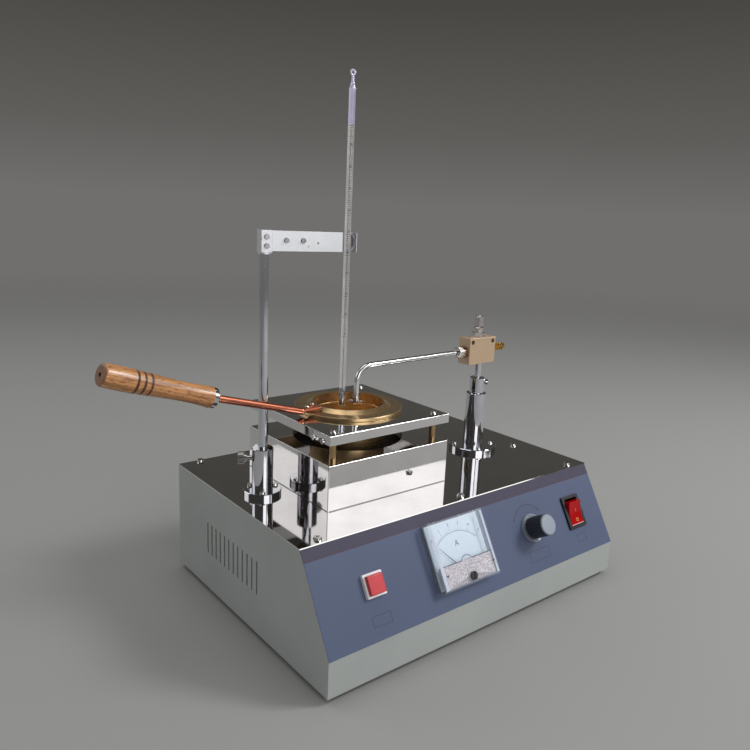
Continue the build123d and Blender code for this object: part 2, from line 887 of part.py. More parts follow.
# The rod bends up a little just before the grip, which it enters in a straight line
with BuildPart() as cup_handle_rod:
    with BuildLine():
        Line(fork_point, bend_start)
        TangentArc(bend_start, bend_end, tangent=handle_line)
        Line(bend_end, grip_origin + grip_line * handle_rod_tail)
    with BuildSketch(Plane(origin=fork_point, z_dir=handle_line)):
        Circle(handle_rod_radius)
    sweep()
    for end in tine_ends:
        with BuildSketch(Plane(origin=fork_point, z_dir=end - fork_point)):
            Circle(tine_radius)
        extrude(amount=(end - fork_point).length)
    with BuildSketch(handle_plane):
        Circle(handle_rod_radius + fork_swell)
        with Locations((-handle_rod_radius, 0)):
            Rectangle(2 * handle_rod_radius, 4 * handle_rod_radius, mode=Mode.SUBTRACT)
    revolve(axis=Axis(handle_plane.origin, handle_plane.y_dir))
    with BuildSketch(Plane.XY.offset(flange_top)):
        with Locations(*[(point.X, point.Y) for point in rivet_points]):
            Circle(rivet_radius + seat_gap)
    extrude(amount=4 * tine_radius, mode=Mode.SUBTRACT)
cup_handle_rod.part.label = "cup_handle_rod"

with BuildPart() as cup_rivets:
    for point in rivet_points:
        head_seat = point.Z + tine_radius + rivet_head_radius * tine_rise / (handle_root - tine_end)
        with BuildSketch(Plane((point.X, point.Y, rivet_seat))):
            Circle(rivet_radius)
        extrude(amount=head_seat - rivet_seat)
        with BuildSketch(Plane((point.X, point.Y, head_seat))):
            Circle(rivet_head_radius)
        extrude(amount=rivet_head_height, taper=rivet_head_taper)
cup_rivets.part.label = "cup_rivets"

grip_plane = Plane(origin=grip_origin, x_dir=handle_side, z_dir=handle_side.cross(grip_line))
rod_bore = handle_rod_radius + joint_gap
tenon_radius = ferrule_radius - ferrule_wall - joint_gap
handle_ferrule = turned(
    grip_plane,
    [
        (rod_bore, 0),
        (ferrule_radius - ferrule_wall / 2, 0),
        (ferrule_radius, ferrule_wall / 2),
        (ferrule_radius, ferrule_length),
        (ferrule_radius - ferrule_wall, ferrule_length),
        (ferrule_radius - ferrule_wall, ferrule_wall),
        (rod_bore, ferrule_wall),
    ],
)
handle_ferrule.part.label = "handle_ferrule"

with BuildPart() as wooden_handle:
    with BuildSketch(grip_plane):
        with BuildLine():
            grip_curve = Spline(
                (handle_neck_radius, ferrule_length),
                (handle_waist_radius, handle_waist),
                (handle_grip_radius, handle_grip),
                (handle_end_radius, handle_length - handle_round),
            )
            Polyline(
                grip_curve @ 0,
                (tenon_radius, ferrule_length),
                (tenon_radius, ferrule_wall + joint_gap),
                (0, ferrule_wall + joint_gap),
                (0, handle_length),
                (handle_end_radius - handle_round, handle_length),
            )
            CenterArc(
                (handle_end_radius - handle_round, handle_length - handle_round), handle_round, 0, 90
            )
        make_face()
        with Locations(*[(handle_grip_radius, distance) for distance in handle_grooves]):
            Circle(handle_groove_radius, mode=Mode.SUBTRACT)
    revolve(axis=Axis(grip_plane.origin, grip_plane.y_dir))
    with BuildSketch(Plane(origin=grip_origin, z_dir=grip_line)):
        Circle(rod_bore)
    extrude(amount=handle_rod_tail + screw_end_gap, mode=Mode.SUBTRACT)
    with BuildSketch(Plane(origin=grip_origin + grip_line * handle_length, z_dir=grip_line)):
        Circle(handle_hole_radius)
    extrude(amount=-handle_hole_depth, mode=Mode.SUBTRACT)
wooden_handle.part.label = "wooden_handle"

# --------------------------------------------------------------------------------- thermometer post
post_bore = post_rod_radius + running_gap
sleeve_top = deck + post_sleeve_height
post_floor = deck + post_sleeve_floor
thumbscrew_plane = radial(post_place, thumbscrew_azimuth, deck + thumbscrew_height)
post_screw_points = ring_points(post_screw_circle, 3)
with BuildPart() as post_base:
    with BuildSketch(axis_plane(post_place, height=deck)):
        Circle(post_flange_radius)
    extrude(amount=post_flange_thickness)
    chamfer(post_base.edges().group_by(Axis.Z)[-1], edge_break)
    with BuildSketch(axis_plane(post_place, height=deck)):
        Circle(post_sleeve_radius)
    extrude(amount=post_sleeve_height)
    chamfer(post_base.edges().group_by(Axis.Z)[-1], edge_break)
    with BuildSketch(axis_plane(post_place, height=post_floor)):
        Circle(post_bore)
    extrude(amount=sleeve_top - post_floor, mode=Mode.SUBTRACT)
    with BuildSketch(axis_plane(post_place, height=deck)):
        with Locations(*post_screw_points):
            Circle(flange_screw[2] + screw_clearance)
    extrude(amount=post_flange_thickness, mode=Mode.SUBTRACT)
    with BuildSketch(Plane(origin=thumbscrew_plane.origin, z_dir=thumbscrew_plane.y_dir)):
        Circle(thumbscrew_shank_radius + running_gap)
    extrude(amount=2 * post_sleeve_radius, mode=Mode.SUBTRACT)
post_base.part.label = "post_base"

post_rod_bottom = post_floor + seat_gap
post_rod_end = deck + post_rod_top
post_rod = turned(
    upright(post_place),
    [
        (0, post_rod_bottom),
        (post_rod_radius - edge_break, post_rod_bottom),
        (post_rod_radius, post_rod_bottom + edge_break),
        (post_rod_radius, post_rod_end - edge_break),
        (post_rod_radius - edge_break, post_rod_end),
        (0, post_rod_end),
    ],
)
post_rod.part.label = "post_rod"

thumbscrew_tip = post_rod_radius + thumbscrew_tip_gap
thumbscrew_head_in = thumbscrew_reach - thumbscrew_head
with BuildPart() as post_thumbscrew:
    add(
        turned(
            thumbscrew_plane,
            [
                (0, thumbscrew_tip),
                (thumbscrew_shank_radius, thumbscrew_tip),
                (thumbscrew_shank_radius, thumbscrew_head_in - thumbscrew_collar),
                (thumbscrew_collar_radius, thumbscrew_head_in - thumbscrew_collar),
                (thumbscrew_collar_radius, thumbscrew_head_in),
                (thumbscrew_head_radius - edge_break, thumbscrew_head_in),
                (thumbscrew_head_radius, thumbscrew_head_in + edge_break),
                (thumbscrew_head_radius, thumbscrew_reach - edge_break),
                (thumbscrew_head_radius - edge_break, thumbscrew_reach),
                (0, thumbscrew_reach),
            ],
        ).part
    )
    head_plane = Plane(
        origin=thumbscrew_plane.origin + thumbscrew_plane.y_dir * thumbscrew_head_in,
        z_dir=thumbscrew_plane.y_dir,
    )
    with BuildSketch(head_plane):
        with Locations(*ring_points(thumbscrew_head_radius, knurl_count)):
            Circle(knurl_radius)
    extrude(amount=thumbscrew_head, mode=Mode.SUBTRACT)
post_thumbscrew.part.label = "post_thumbscrew"

# Arm: the clamp on the rod, a flat strip and a spring clip
arm_top_view = axis_plane(post_place, arm_azimuth, deck)
arm_face = upright(post_place, arm_azimuth)
with BuildPart() as arm_clamp:
    with BuildSketch(arm_top_view.offset(clamp_bottom)):
        Rectangle(clamp_length, clamp_depth)
    extrude(amount=clamp_height)
    fillet(arm_clamp.edges().filter_by(Axis.Z), edge_break)
    with BuildSketch(arm_top_view.offset(clamp_bottom)):
        Circle(clamp_ring_radius)
    extrude(amount=-clamp_ring_height)
    with BuildSketch(arm_top_view.offset(strip_bottom)):
        with Locations((clamp_tab_end / 2, clamp_tab_thickness / 2)):
            Rectangle(clamp_tab_end, clamp_tab_thickness)
    extrude(amount=strip_height)
    with BuildSketch(arm_top_view.offset(clamp_bottom - clamp_ring_height)):
        Circle(post_bore)
    extrude(amount=clamp_height + clamp_ring_height, mode=Mode.SUBTRACT)
    with BuildSketch(arm_face.offset(clamp_depth / 2)):
        with Locations(*[(0, deck + height) for height in clamp_screw_heights]):
            Circle(arm_screw[2] + screw_clearance)
    extrude(amount=-clamp_depth / 2, mode=Mode.SUBTRACT)
    with BuildSketch(arm_face):
        with Locations(*[(place, deck + strip_screw_height) for place in strip_screw_places]):
            Circle(arm_screw[2] + screw_clearance)
    extrude(amount=-clamp_tab_thickness, mode=Mode.SUBTRACT)
arm_clamp.part.label = "arm_clamp"

with BuildPart() as thermometer_arm:
    strip_face = arm_face.offset(strip_thickness)
    with BuildSketch(strip_face):
        with Locations(((clamp_length / 2 + strip_end) / 2, deck + strip_bottom + strip_height / 2)):
            Rectangle(strip_end - clamp_length / 2, strip_height)
        with Locations(*[(place, deck + strip_screw_height) for place in strip_screw_places]):
            Circle(arm_screw[2] + screw_clearance, mode=Mode.SUBTRACT)
        for along, height, radius in (strip_hole, strip_pin_hole):
            with Locations((along, deck + height)):
                Circle(radius, mode=Mode.SUBTRACT)
    extrude(amount=-strip_thickness)
thermometer_arm.part.label = "thermometer_arm"

clamp_face = arm_face.offset(clamp_depth / 2)
clamp_screws = pan_screws(
    [(clamp_face, [(0, deck + height) for height in clamp_screw_heights])],
    arm_screw,
    clamp_depth / 2 - post_rod_radius - thumbscrew_tip_gap,
    cross=False,
)
strip_screws = pan_screws(
    [(strip_face, [(place, deck + strip_screw_height) for place in strip_screw_places])],
    arm_screw,
    strip_thickness + clamp_tab_thickness + screw_end_gap,
    cross=False,
)
with BuildPart() as arm_screws:
    add(clamp_screws.part)
    add(strip_screws.part)
arm_screws.part.label = "arm_screws"

clip_sheets = [
    (clip_root, clip_riser + clip_sheet, 0, clip_sheet),
    (clip_riser, clip_riser + clip_sheet, 0, clip_back),
    (clip_riser, clip_end, clip_back - clip_sheet, clip_back),
    (clip_end - clip_sheet, clip_end, clip_front, clip_back),
]
leaf_near = thermometer_reach + thermometer_radius + leaf_gap + leaf_thickness
leaf_far = clip_end - clip_sheet
leaf_middle = deck + strip_bottom + strip_height / 2
leaf_half = strip_height / 2 - leaf_margin
with BuildPart() as thermometer_clip:
    with BuildSketch(arm_top_view.offset(strip_bottom)):
        for start, end, front, back in clip_sheets:
            with Locations(((start + end) / 2, (front + back) / 2)):
                Rectangle(end - start, back - front)
    extrude(amount=strip_height)
    with BuildSketch(arm_face.offset(leaf_width / 2)):
        with BuildLine():
            outer = ThreePointArc(
                (leaf_near, leaf_middle - leaf_half),
                (leaf_far + leaf_weld, leaf_middle),
                (leaf_near, leaf_middle + leaf_half),
            )
            inner = ThreePointArc(
                (leaf_near - leaf_thickness, leaf_middle - leaf_half),
                (leaf_far - leaf_thickness, leaf_middle),
                (leaf_near - leaf_thickness, leaf_middle + leaf_half),
            )
            Line(outer @ 0, inner @ 0)
            Line(outer @ 1, inner @ 1)
        make_face()
    extrude(amount=-leaf_width)
thermometer_clip.part.label = "thermometer_clip"

# Thermometer: a glass stem with an eye, and the mercury in its bulb and bore
arm_turn = math.radians(arm_azimuth)
thermometer_place = (
    post_x + thermometer_reach * math.cos(arm_turn),
    post_y + thermometer_reach * math.sin(arm_turn),
)
tip_height = deck + thermometer_tip
stem_top = tip_height + thermometer_length
bulb_bottom = tip_height + (thermometer_radius - bulb_radius)
with BuildPart() as thermometer_glass:
    with BuildSketch(upright(thermometer_place)):
        with BuildLine():
            Polyline(
                (0, tip_height),
                (thermometer_radius - thermometer_tip_radius, tip_height),
            )
            CenterArc(
                (thermometer_radius - thermometer_tip_radius, tip_height + thermometer_tip_radius),
                thermometer_tip_radius, -90, 90,
            )
            Polyline(
                (thermometer_radius, tip_height + thermometer_tip_radius),
                (thermometer_radius, stem_top - thermometer_neck),
                (eye_neck_radius, stem_top - thermometer_neck / 2),
                (eye_root_radius, stem_top),
                (0, stem_top),
                (0, tip_height),
            )
        make_face()
    revolve(axis=Axis((*thermometer_place, 0), (0, 0, 1)))
    with BuildSketch(upright(thermometer_place)):
        with Locations((0, bulb_bottom + bulb_length / 2)):
            Rectangle(2 * bulb_radius, bulb_length)
        with Locations((0, bulb_bottom + bore_length / 2)):
            Rectangle(2 * bore_radius, bore_length)
        with Locations((-bulb_radius / 2, bulb_bottom + bore_length / 2)):
            Rectangle(bulb_radius, bore_length, mode=Mode.SUBTRACT)
    revolve(axis=Axis((*thermometer_place, 0), (0, 0, 1)), mode=Mode.SUBTRACT)
    eye_plane = axis_plane(thermometer_place, height=stem_top + eye_radius)
    with BuildSketch(eye_plane):
        with Locations((eye_radius, 0)):
            Circle(eye_wire_radius)
    revolve(axis=Axis(eye_plane.origin, eye_plane.y_dir))
thermometer_glass.part.label = "thermometer_glass"

mercury_bulb = bulb_radius - seat_gap
mercury_bore = bore_radius - seat_gap
thermometer_mercury = turned(
    upright(thermometer_place),
    [
        (0, bulb_bottom + seat_gap),
        (mercury_bulb, bulb_bottom + seat_gap),
        (mercury_bulb, bulb_bottom + bulb_length - seat_gap),
        (mercury_bore, bulb_bottom + bulb_length - seat_gap),
        (mercury_bore, bulb_bottom + mercury_length),
        (0, bulb_bottom + mercury_length),
    ],
)
thermometer_mercury.part.label = "thermometer_mercury"

# ------------------------------------------------------------------------------------ flame column
column_top = deck + column_sleeve_height
spigot_bore = spigot_radius + running_gap
column_screw_points = ring_points(column_screw_circle, 4, column_screw_first)
with BuildPart() as column_base:
    with BuildSketch(axis_plane(column_place, height=deck)):
        Circle(column_flange_radius)
    extrude(amount=column_flange_thickness)
    chamfer(column_base.edges().group_by(Axis.Z)[-1], edge_break)
    with BuildSketch(axis_plane(column_place, height=deck)):
        Circle(column_sleeve_radius)
    extrude(amount=column_sleeve_height)
    chamfer(column_base.edges().group_by(Axis.Z)[-1], edge_break)
    with BuildSketch(axis_plane(column_place, height=column_top)):
        Circle(spigot_bore)
    extrude(amount=column_bore_floor - column_sleeve_height, mode=Mode.SUBTRACT)
    with BuildSketch(axis_plane(column_place, height=deck)):
        with Locations(*column_screw_points):
            Circle(flange_screw[2] + screw_clearance)
    extrude(amount=column_flange_thickness, mode=Mode.SUBTRACT)
column_base.part.label = "column_base"

flange_screws = pan_screws(
    [
        (axis_plane(post_place, height=deck + post_flange_thickness), post_screw_points),
        (axis_plane(column_place, height=deck + column_flange_thickness), column_screw_points),
    ],
    flange_screw,
    flange_screw_length,
)
flange_screws.part.label = "flange_screws"

stem_bore = stem_radius + running_gap
bush_top = column_top + bush_height
set_screw_plane = radial(column_place, set_screw_azimuth, column_top + set_screw_height)
with BuildPart() as column_bush:
    add(
        turned(
            upright(column_place),
            [
                (stem_bore, column_top - spigot_length),
                (spigot_radius, column_top - spigot_length),
                (spigot_radius, column_top),
                (bush_radius, column_top),
                (bush_radius, bush_top - edge_break),
                (bush_radius - edge_break, bush_top),
                (stem_bore, bush_top),
            ],
        ).part
    )
    with BuildSketch(Plane(origin=set_screw_plane.origin, z_dir=set_screw_plane.y_dir)):
        Circle(set_screw_shank_radius + running_gap)
    extrude(amount=2 * bush_radius, mode=Mode.SUBTRACT)
column_bush.part.label = "column_bush"

set_screw_seat = bush_radius + set_screw_collar
set_screw_end = set_screw_seat + set_screw_head
column_set_screw = turned(
    set_screw_plane,
    [
        (0, stem_radius + thumbscrew_tip_gap),
        (set_screw_shank_radius, stem_radius + thumbscrew_tip_gap),
        (set_screw_shank_radius, set_screw_seat),
        (set_screw_head_radius, set_screw_seat),
        (set_screw_head_radius, set_screw_end - edge_break),
        (set_screw_head_radius - edge_break, set_screw_end),
        (set_screw_socket_radius, set_screw_end),
        (set_screw_socket_radius, set_screw_end - set_screw_socket),
        (0, set_screw_end - set_screw_socket),
    ],
)
column_set_screw.part.label = "column_set_screw"

block_base = deck + block_bottom
block_top = block_base + block_height
block_place = (column_x + block_offset_x, column_y + block_offset_y)
block_left = block_place[0] - block_width / 2
block_right = block_place[0] + block_width / 2
gas_level = block_base + gas_height
stem_top_end = block_base + block_port_depth
applicator_stem = turned(
    upright(column_place),
    [
        (0, deck + stem_bottom),
        (stem_radius - edge_break, deck + stem_bottom),
        (stem_radius, deck + stem_bottom + edge_break),
        (stem_radius, stem_top_end),
        (0, stem_top_end),
    ],
)
applicator_stem.part.label = "applicator_stem"

left_port = Plane(origin=(block_left, block_place[1], gas_level), x_dir=(0, 1, 0), z_dir=(-1, 0, 0))
right_port = Plane(
    origin=(block_right, block_place[1], gas_level + barb_lift), x_dir=(0, 1, 0), z_dir=(1, 0, 0)
)
block_face = upright(block_place)
with BuildPart() as valve_block:
    with BuildSketch(axis_plane(block_place, height=block_base)):
        Rectangle(block_width, block_depth)
    extrude(amount=block_height)
    chamfer(valve_block.edges(), block_edge)
    with BuildSketch(block_face.offset(block_depth / 2)):
        hole_out = block_width / 2 - block_hole_inset
        with Locations((-hole_out, block_top - block_hole_drop), (hole_out, block_top - block_hole_drop)):
            Circle(block_hole_radius)
    extrude(amount=-block_depth, mode=Mode.SUBTRACT)
    with BuildSketch(left_port):
        Circle(nut_thread_radius + joint_gap)
    extrude(amount=-block_port_depth, mode=Mode.SUBTRACT)
    with BuildSketch(right_port):
        Circle(barb_thread_radius + joint_gap)
    extrude(amount=-block_port_depth, mode=Mode.SUBTRACT)
    with BuildSketch(left_port):
        Circle(block_passage_radius)
    extrude(amount=-block_width, mode=Mode.SUBTRACT)
    with BuildSketch(axis_plane(block_place, height=block_top)):
        Circle(gland_thread_radius + joint_gap)
    extrude(amount=-block_port_depth, mode=Mode.SUBTRACT)
    with BuildSketch(axis_plane(block_place, height=block_top)):
        Circle(block_needle_radius)
    extrude(amount=gas_level - block_top, mode=Mode.SUBTRACT)
    with BuildSketch(axis_plane(column_place, height=block_base)):
        Circle(stem_bore)
    extrude(amount=block_port_depth, mode=Mode.SUBTRACT)
valve_block.part.label = "valve_block"

gland_bore = needle_shaft_radius + running_gap
gland_hex_top = block_top + gland_hex_height
gland_top = gland_hex_top + gland_collar_height
with BuildPart() as valve_gland:
    with BuildSketch(axis_plane(block_place, height=block_top)):
        RegularPolygon(gland_across_flats / 2, 6, major_radius=False, rotation=gland_turn)
    extrude(amount=gland_hex_height)
    chamfer(valve_gland.edges().group_by(Axis.Z)[-1], edge_break)
    with BuildSketch(axis_plane(block_place, height=gland_hex_top)):
        Circle(gland_collar_radius)
    extrude(amount=gland_collar_height)
    chamfer(valve_gland.edges().group_by(Axis.Z)[-1], edge_break)
    with BuildSketch(axis_plane(block_place, height=block_top)):
        Circle(gland_thread_radius)
    extrude(amount=-block_port_depth + joint_gap)
    with BuildSketch(axis_plane(block_place, height=gland_top)):
        Circle(gland_bore)
    extrude(amount=-gland_collar_height - gland_hex_height - block_port_depth, mode=Mode.SUBTRACT)
valve_gland.part.label = "valve_gland"

knob_bottom = gland_top + needle_knob_gap
knob_end = knob_bottom + needle_knob_height
needle_tip_end = block_top - block_port_depth + needle_tip_gap
with BuildPart() as needle_knob:
    add(
        turned(
            upright(block_place),
            [
                (0, needle_tip_end),
                (needle_shaft_radius, needle_tip_end + needle_tip),
                (needle_shaft_radius, knob_bottom),
                (needle_knob_radius - edge_break, knob_bottom),
                (needle_knob_radius, knob_bottom + edge_break),
                (needle_knob_radius, knob_end - edge_break),
                (needle_knob_radius - edge_break, knob_end),
                (needle_knob_radius - needle_knob_rim, knob_end),
                (needle_knob_radius - needle_knob_rim - edge_break, knob_end - edge_break),
                (0, knob_end - edge_break),
            ],
        ).part
    )
    with BuildSketch(axis_plane(block_place, height=knob_bottom)):
        with Locations(*ring_points(needle_knob_radius, knurl_count)):
            Circle(knurl_radius)
    extrude(amount=needle_knob_height, mode=Mode.SUBTRACT)
needle_knob.part.label = "needle_knob"

with BuildPart() as tube_nut:
    with BuildSketch(left_port):
        Circle(nut_thread_radius)
    extrude(amount=nut_thread_length)
    with BuildSketch(left_port):
        Circle(nut_thread_radius)
    extrude(amount=-block_port_depth + joint_gap)
    with BuildSketch(left_port.offset(nut_thread_length)):
        RegularPolygon(nut_across_flats / 2, 6, major_radius=False, rotation=nut_turn)
    extrude(amount=nut_length)
    chamfer(tube_nut.edges().group_by(Axis.X)[0], edge_break)
    with BuildSketch(left_port.offset(nut_thread_length + nut_length)):
        Circle(tube_radius + joint_gap)
    extrude(amount=-nut_thread_length - nut_length - block_port_depth, mode=Mode.SUBTRACT)
tube_nut.part.label = "tube_nut"

tube_start = (block_left + block_port_depth - tube_seat_gap, block_place[1], gas_level)
tube_kink = (block_left - nut_thread_length - nut_length - tube_straight, block_place[1], gas_level)
tube_corner = (nozzle_x, nozzle_y, gas_level)
socket_bottom = deck + nozzle_bottom + nozzle_height - nozzle_socket
tube_end = (nozzle_x, nozzle_y, socket_bottom)
with BuildPart() as gas_tube:
    with BuildLine():
        tube_path = FilletPolyline(
            tube_start, tube_kink, tube_corner, tube_end, radius=[tube_kink_radius, tube_bend_radius]
        )
    with BuildSketch(Plane(origin=tube_start, z_dir=(-1, 0, 0))):
        Circle(tube_radius)
        Circle(tube_bore_radius, mode=Mode.SUBTRACT)
    sweep()
gas_tube.part.label = "gas_tube"

nozzle_end = deck + nozzle_bottom
nozzle_plane = upright((nozzle_x, nozzle_y))
with BuildPart() as gas_nozzle:
    add(
        turned(
            nozzle_plane,
            [
                (nozzle_orifice_radius, nozzle_end),
                (nozzle_tip_radius, nozzle_end),
                (nozzle_radius, nozzle_end + nozzle_cone),
                (nozzle_radius, nozzle_end + nozzle_height - nozzle_cone),
                (tube_radius + nozzle_lip, nozzle_end + nozzle_height),
                (tube_radius + joint_gap, nozzle_end + nozzle_height),
                (tube_radius + joint_gap, socket_bottom),
                (nozzle_orifice_radius, socket_bottom),
            ],
        ).part
    )
    pin_plane = radial((nozzle_x, nozzle_y), cross_pin_azimuth, nozzle_end + cross_pin_lift)
    head_radius, head_length, head_taper = cross_pin_head
    for side in (1, -1):
        with BuildSketch(Plane(
            origin=pin_plane.origin + pin_plane.y_dir * side * (nozzle_radius - cross_pin_root),
            z_dir=pin_plane.y_dir * side,
        )):
            Circle(cross_pin_radius)
        extrude(amount=cross_pin_length / 2 - nozzle_radius + cross_pin_root)
        with BuildSketch(Plane(
            origin=pin_plane.origin + pin_plane.y_dir * side * (cross_pin_length / 2 - head_length),
            z_dir=pin_plane.y_dir * side,
        )):
            Circle(head_radius)
        extrude(amount=head_length, taper=head_taper)
gas_nozzle.part.label = "gas_nozzle"

barb_points = [(barb_bore_radius, -block_port_depth + joint_gap),
               (barb_thread_radius, -block_port_depth + joint_gap),
               (barb_thread_radius, 0), (barb_collar_radius, 0), (barb_collar_radius, barb_collar)]
for number in range(barb_count):
    barb_points.append((barb_neck_radius, barb_collar + barb_pitch * number))
    barb_points.append((barb_radius, barb_collar + barb_pitch * number + barb_land))
barb_length = barb_collar + barb_pitch * barb_count
barb_points += [(barb_neck_radius, barb_length), (barb_bore_radius, barb_length)]
barb_plane = Plane(origin=right_port.origin, x_dir=(0, -1, 0), z_dir=(0, 0, 1))
hose_barb = turned(barb_plane, barb_points)
hose_barb.part.label = "hose_barb"

# ------------------------------------------------------------------------------------- front panel
meter_front = meter_depth + overlay_thickness
meter_inside = meter_front - meter_wall
meter_bottom = meter_v - meter_height / 2
dial_seat = overlay_thickness + meter_base
dial_top = dial_seat + meter_dial_thickness
inner_width = meter_width - 2 * (meter_wall + meter_inner_gap)
inner_height = meter_height - 2 * (meter_wall + meter_inner_gap)
needle_seat = dial_top + needle_lift
needle_level = dial_top + needle_rise
mask_bottom = meter_inside - meter_mask_thickness
needle_place = (needle_x, needle_v)
with BuildPart() as meter_case:
    with BuildSketch(panel_face):
        with Locations((meter_x, meter_v)):
            Rectangle(inner_width, inner_height)
    extrude(amount=meter_base)
    with BuildSketch(panel_face):
        with Locations((meter_x, meter_v)):
            Circle(meter_body_radius)
    extrude(amount=-meter_body_depth)
    with BuildSketch(slope.offset(dial_seat)):
        with Locations(needle_place):
            Circle(needle_pin_radius)
    extrude(amount=needle_level - dial_seat)
meter_case.part.label = "meter_case"

with BuildPart() as meter_dial:
    with BuildSketch(slope.offset(dial_seat)):
        with Locations((meter_x, meter_v)):
            Rectangle(inner_width - 2 * dial_margin, inner_height - 2 * dial_margin)
        with Locations(needle_place):
            Circle(needle_pin_radius + joint_gap, mode=Mode.SUBTRACT)
    extrude(amount=meter_dial_thickness)
meter_dial.part.label = "meter_dial"

with BuildPart() as meter_cover:
    with BuildSketch(panel_face):
        with Locations((meter_x, meter_v)):
            Rectangle(meter_width, meter_height)
    extrude(amount=meter_depth)
    top_edges = meter_cover.edges().group_by(Axis(slope.origin, slope.z_dir))[-1]
    fillet(top_edges, meter_corner)
    with BuildSketch(panel_face):
        with Locations((meter_x, meter_v)):
            Rectangle(meter_width - 2 * meter_wall, meter_height - 2 * meter_wall)
    extrude(amount=meter_depth - meter_wall, mode=Mode.SUBTRACT)
    with BuildSketch(slope.offset(meter_front)):
        with Locations((zero_x, zero_v)):
            Circle(zero_shank_radius + running_gap)
    extrude(amount=-meter_wall, mode=Mode.SUBTRACT)
meter_cover.part.label = "meter_cover"

with BuildPart() as meter_mask:
    with BuildSketch(slope.offset(mask_bottom)):
        with Locations((meter_x, meter_bottom + meter_wall + meter_inner_gap
                        + (meter_mask_height - meter_wall - meter_inner_gap) / 2)):
            Rectangle(inner_width - 2 * dial_margin, meter_mask_height - meter_wall - meter_inner_gap)
        with Locations((zero_x, zero_v)):
            Circle(zero_shank_radius + panel_gap, mode=Mode.SUBTRACT)
    extrude(amount=meter_mask_thickness)
meter_mask.part.label = "meter_mask"

needle_turn = math.radians(needle_zero_angle)
with BuildPart() as meter_needle:
    with BuildSketch(slope.offset(needle_seat)):
        with Locations(needle_place):
            Circle(needle_hub_radius)
    extrude(amount=needle_level + needle_thickness + needle_cap - needle_seat)
    with BuildSketch(slope.offset(needle_level)):
        with BuildLine():
            tip = Vector(math.cos(needle_turn), math.sin(needle_turn)) * needle_length
            side = Vector(-math.sin(needle_turn), math.cos(needle_turn)) * needle_width / 2
            tail = Vector(math.cos(needle_turn), math.sin(needle_turn)) * -needle_tail
            hub = Vector(needle_x, needle_v)
            Polyline(hub + tip, hub + tail + side * 2, hub + tail - side * 2, close=True)
        make_face()
    extrude(amount=needle_thickness)
    with BuildSketch(slope.offset(needle_seat)):
        with Locations(needle_place):
            Circle(needle_pin_radius + running_gap)
    extrude(amount=needle_level - needle_seat + needle_cap_floor, mode=Mode.SUBTRACT)
meter_needle.part.label = "meter_needle"

with BuildPart() as meter_zero_screw:
    with BuildSketch(slope.offset(meter_front)):
        with Locations((zero_x, zero_v)):
            Circle(zero_head_radius)
    extrude(amount=zero_head)
    with BuildSketch(slope.offset(meter_front + zero_head)):
        with Locations((zero_x, zero_v)):
            Rectangle(2 * zero_head_radius, zero_slot, rotation=zero_slot_turn)
    extrude(amount=-zero_head / 2, mode=Mode.SUBTRACT)
    with BuildSketch(slope.offset(meter_front)):
        with Locations((zero_x, zero_v)):
            Circle(zero_shank_radius)
    extrude(amount=-meter_wall - meter_mask_thickness / 2)
meter_zero_screw.part.label = "meter_zero_screw"

button_bore = button_size + 2 * button_gap
button_neck = button_bore + 2 * button_wall
with BuildPart() as button_bezel:
    with BuildSketch(panel_face):
        with Locations((button_x, button_v)):
            RectangleRounded(button_bezel_size, button_bezel_size, button_corner)
    extrude(amount=button_bezel_thickness)
    with BuildSketch(panel_face):
        with Locations((button_x, button_v)):
            Rectangle(button_neck, button_neck)
    extrude(amount=-button_body_depth)
    with BuildSketch(panel_face.offset(button_bezel_thickness)):
        with Locations((button_x, button_v)):
            Rectangle(button_bore, button_bore)
    extrude(amount=button_floor - button_body_depth - button_bezel_thickness, mode=Mode.SUBTRACT)
button_bezel.part.label = "button_bezel"

button_bottom = button_floor - button_body_depth + button_travel + button_stop_gap
with BuildPart() as button_cap:
    with BuildSketch(panel_face.offset(button_bottom)):
        with Locations((button_x, button_v)):
            Rectangle(button_size, button_size)
    extrude(amount=button_bezel_thickness + button_rise - button_bottom)
    fillet(button_cap.edges().group_by(Axis(slope.origin, slope.z_dir))[-1], button_corner)
button_cap.part.label = "button_cap"

pot_seat = -overlay_thickness - housing_sheet - joint_gap
with BuildPart() as regulator_pot:
    with BuildSketch(panel_face.offset(pot_seat)):
        with Locations((knob_x, knob_v)):
            Circle(pot_body_radius)
    extrude(amount=-pot_body_depth)
    with BuildSketch(panel_face.offset(pot_seat)):
        with Locations((knob_x, knob_v)):
            Circle(pot_bush_radius)
    extrude(amount=pot_bush_rise - pot_seat)
    with BuildSketch(panel_face.offset(pot_bush_rise)):
        with Locations((knob_x, knob_v)):
            Circle(shaft_radius + running_gap)
    extrude(amount=-pot_bush_rise - pot_body_depth, mode=Mode.SUBTRACT)
regulator_pot.part.label = "regulator_pot"

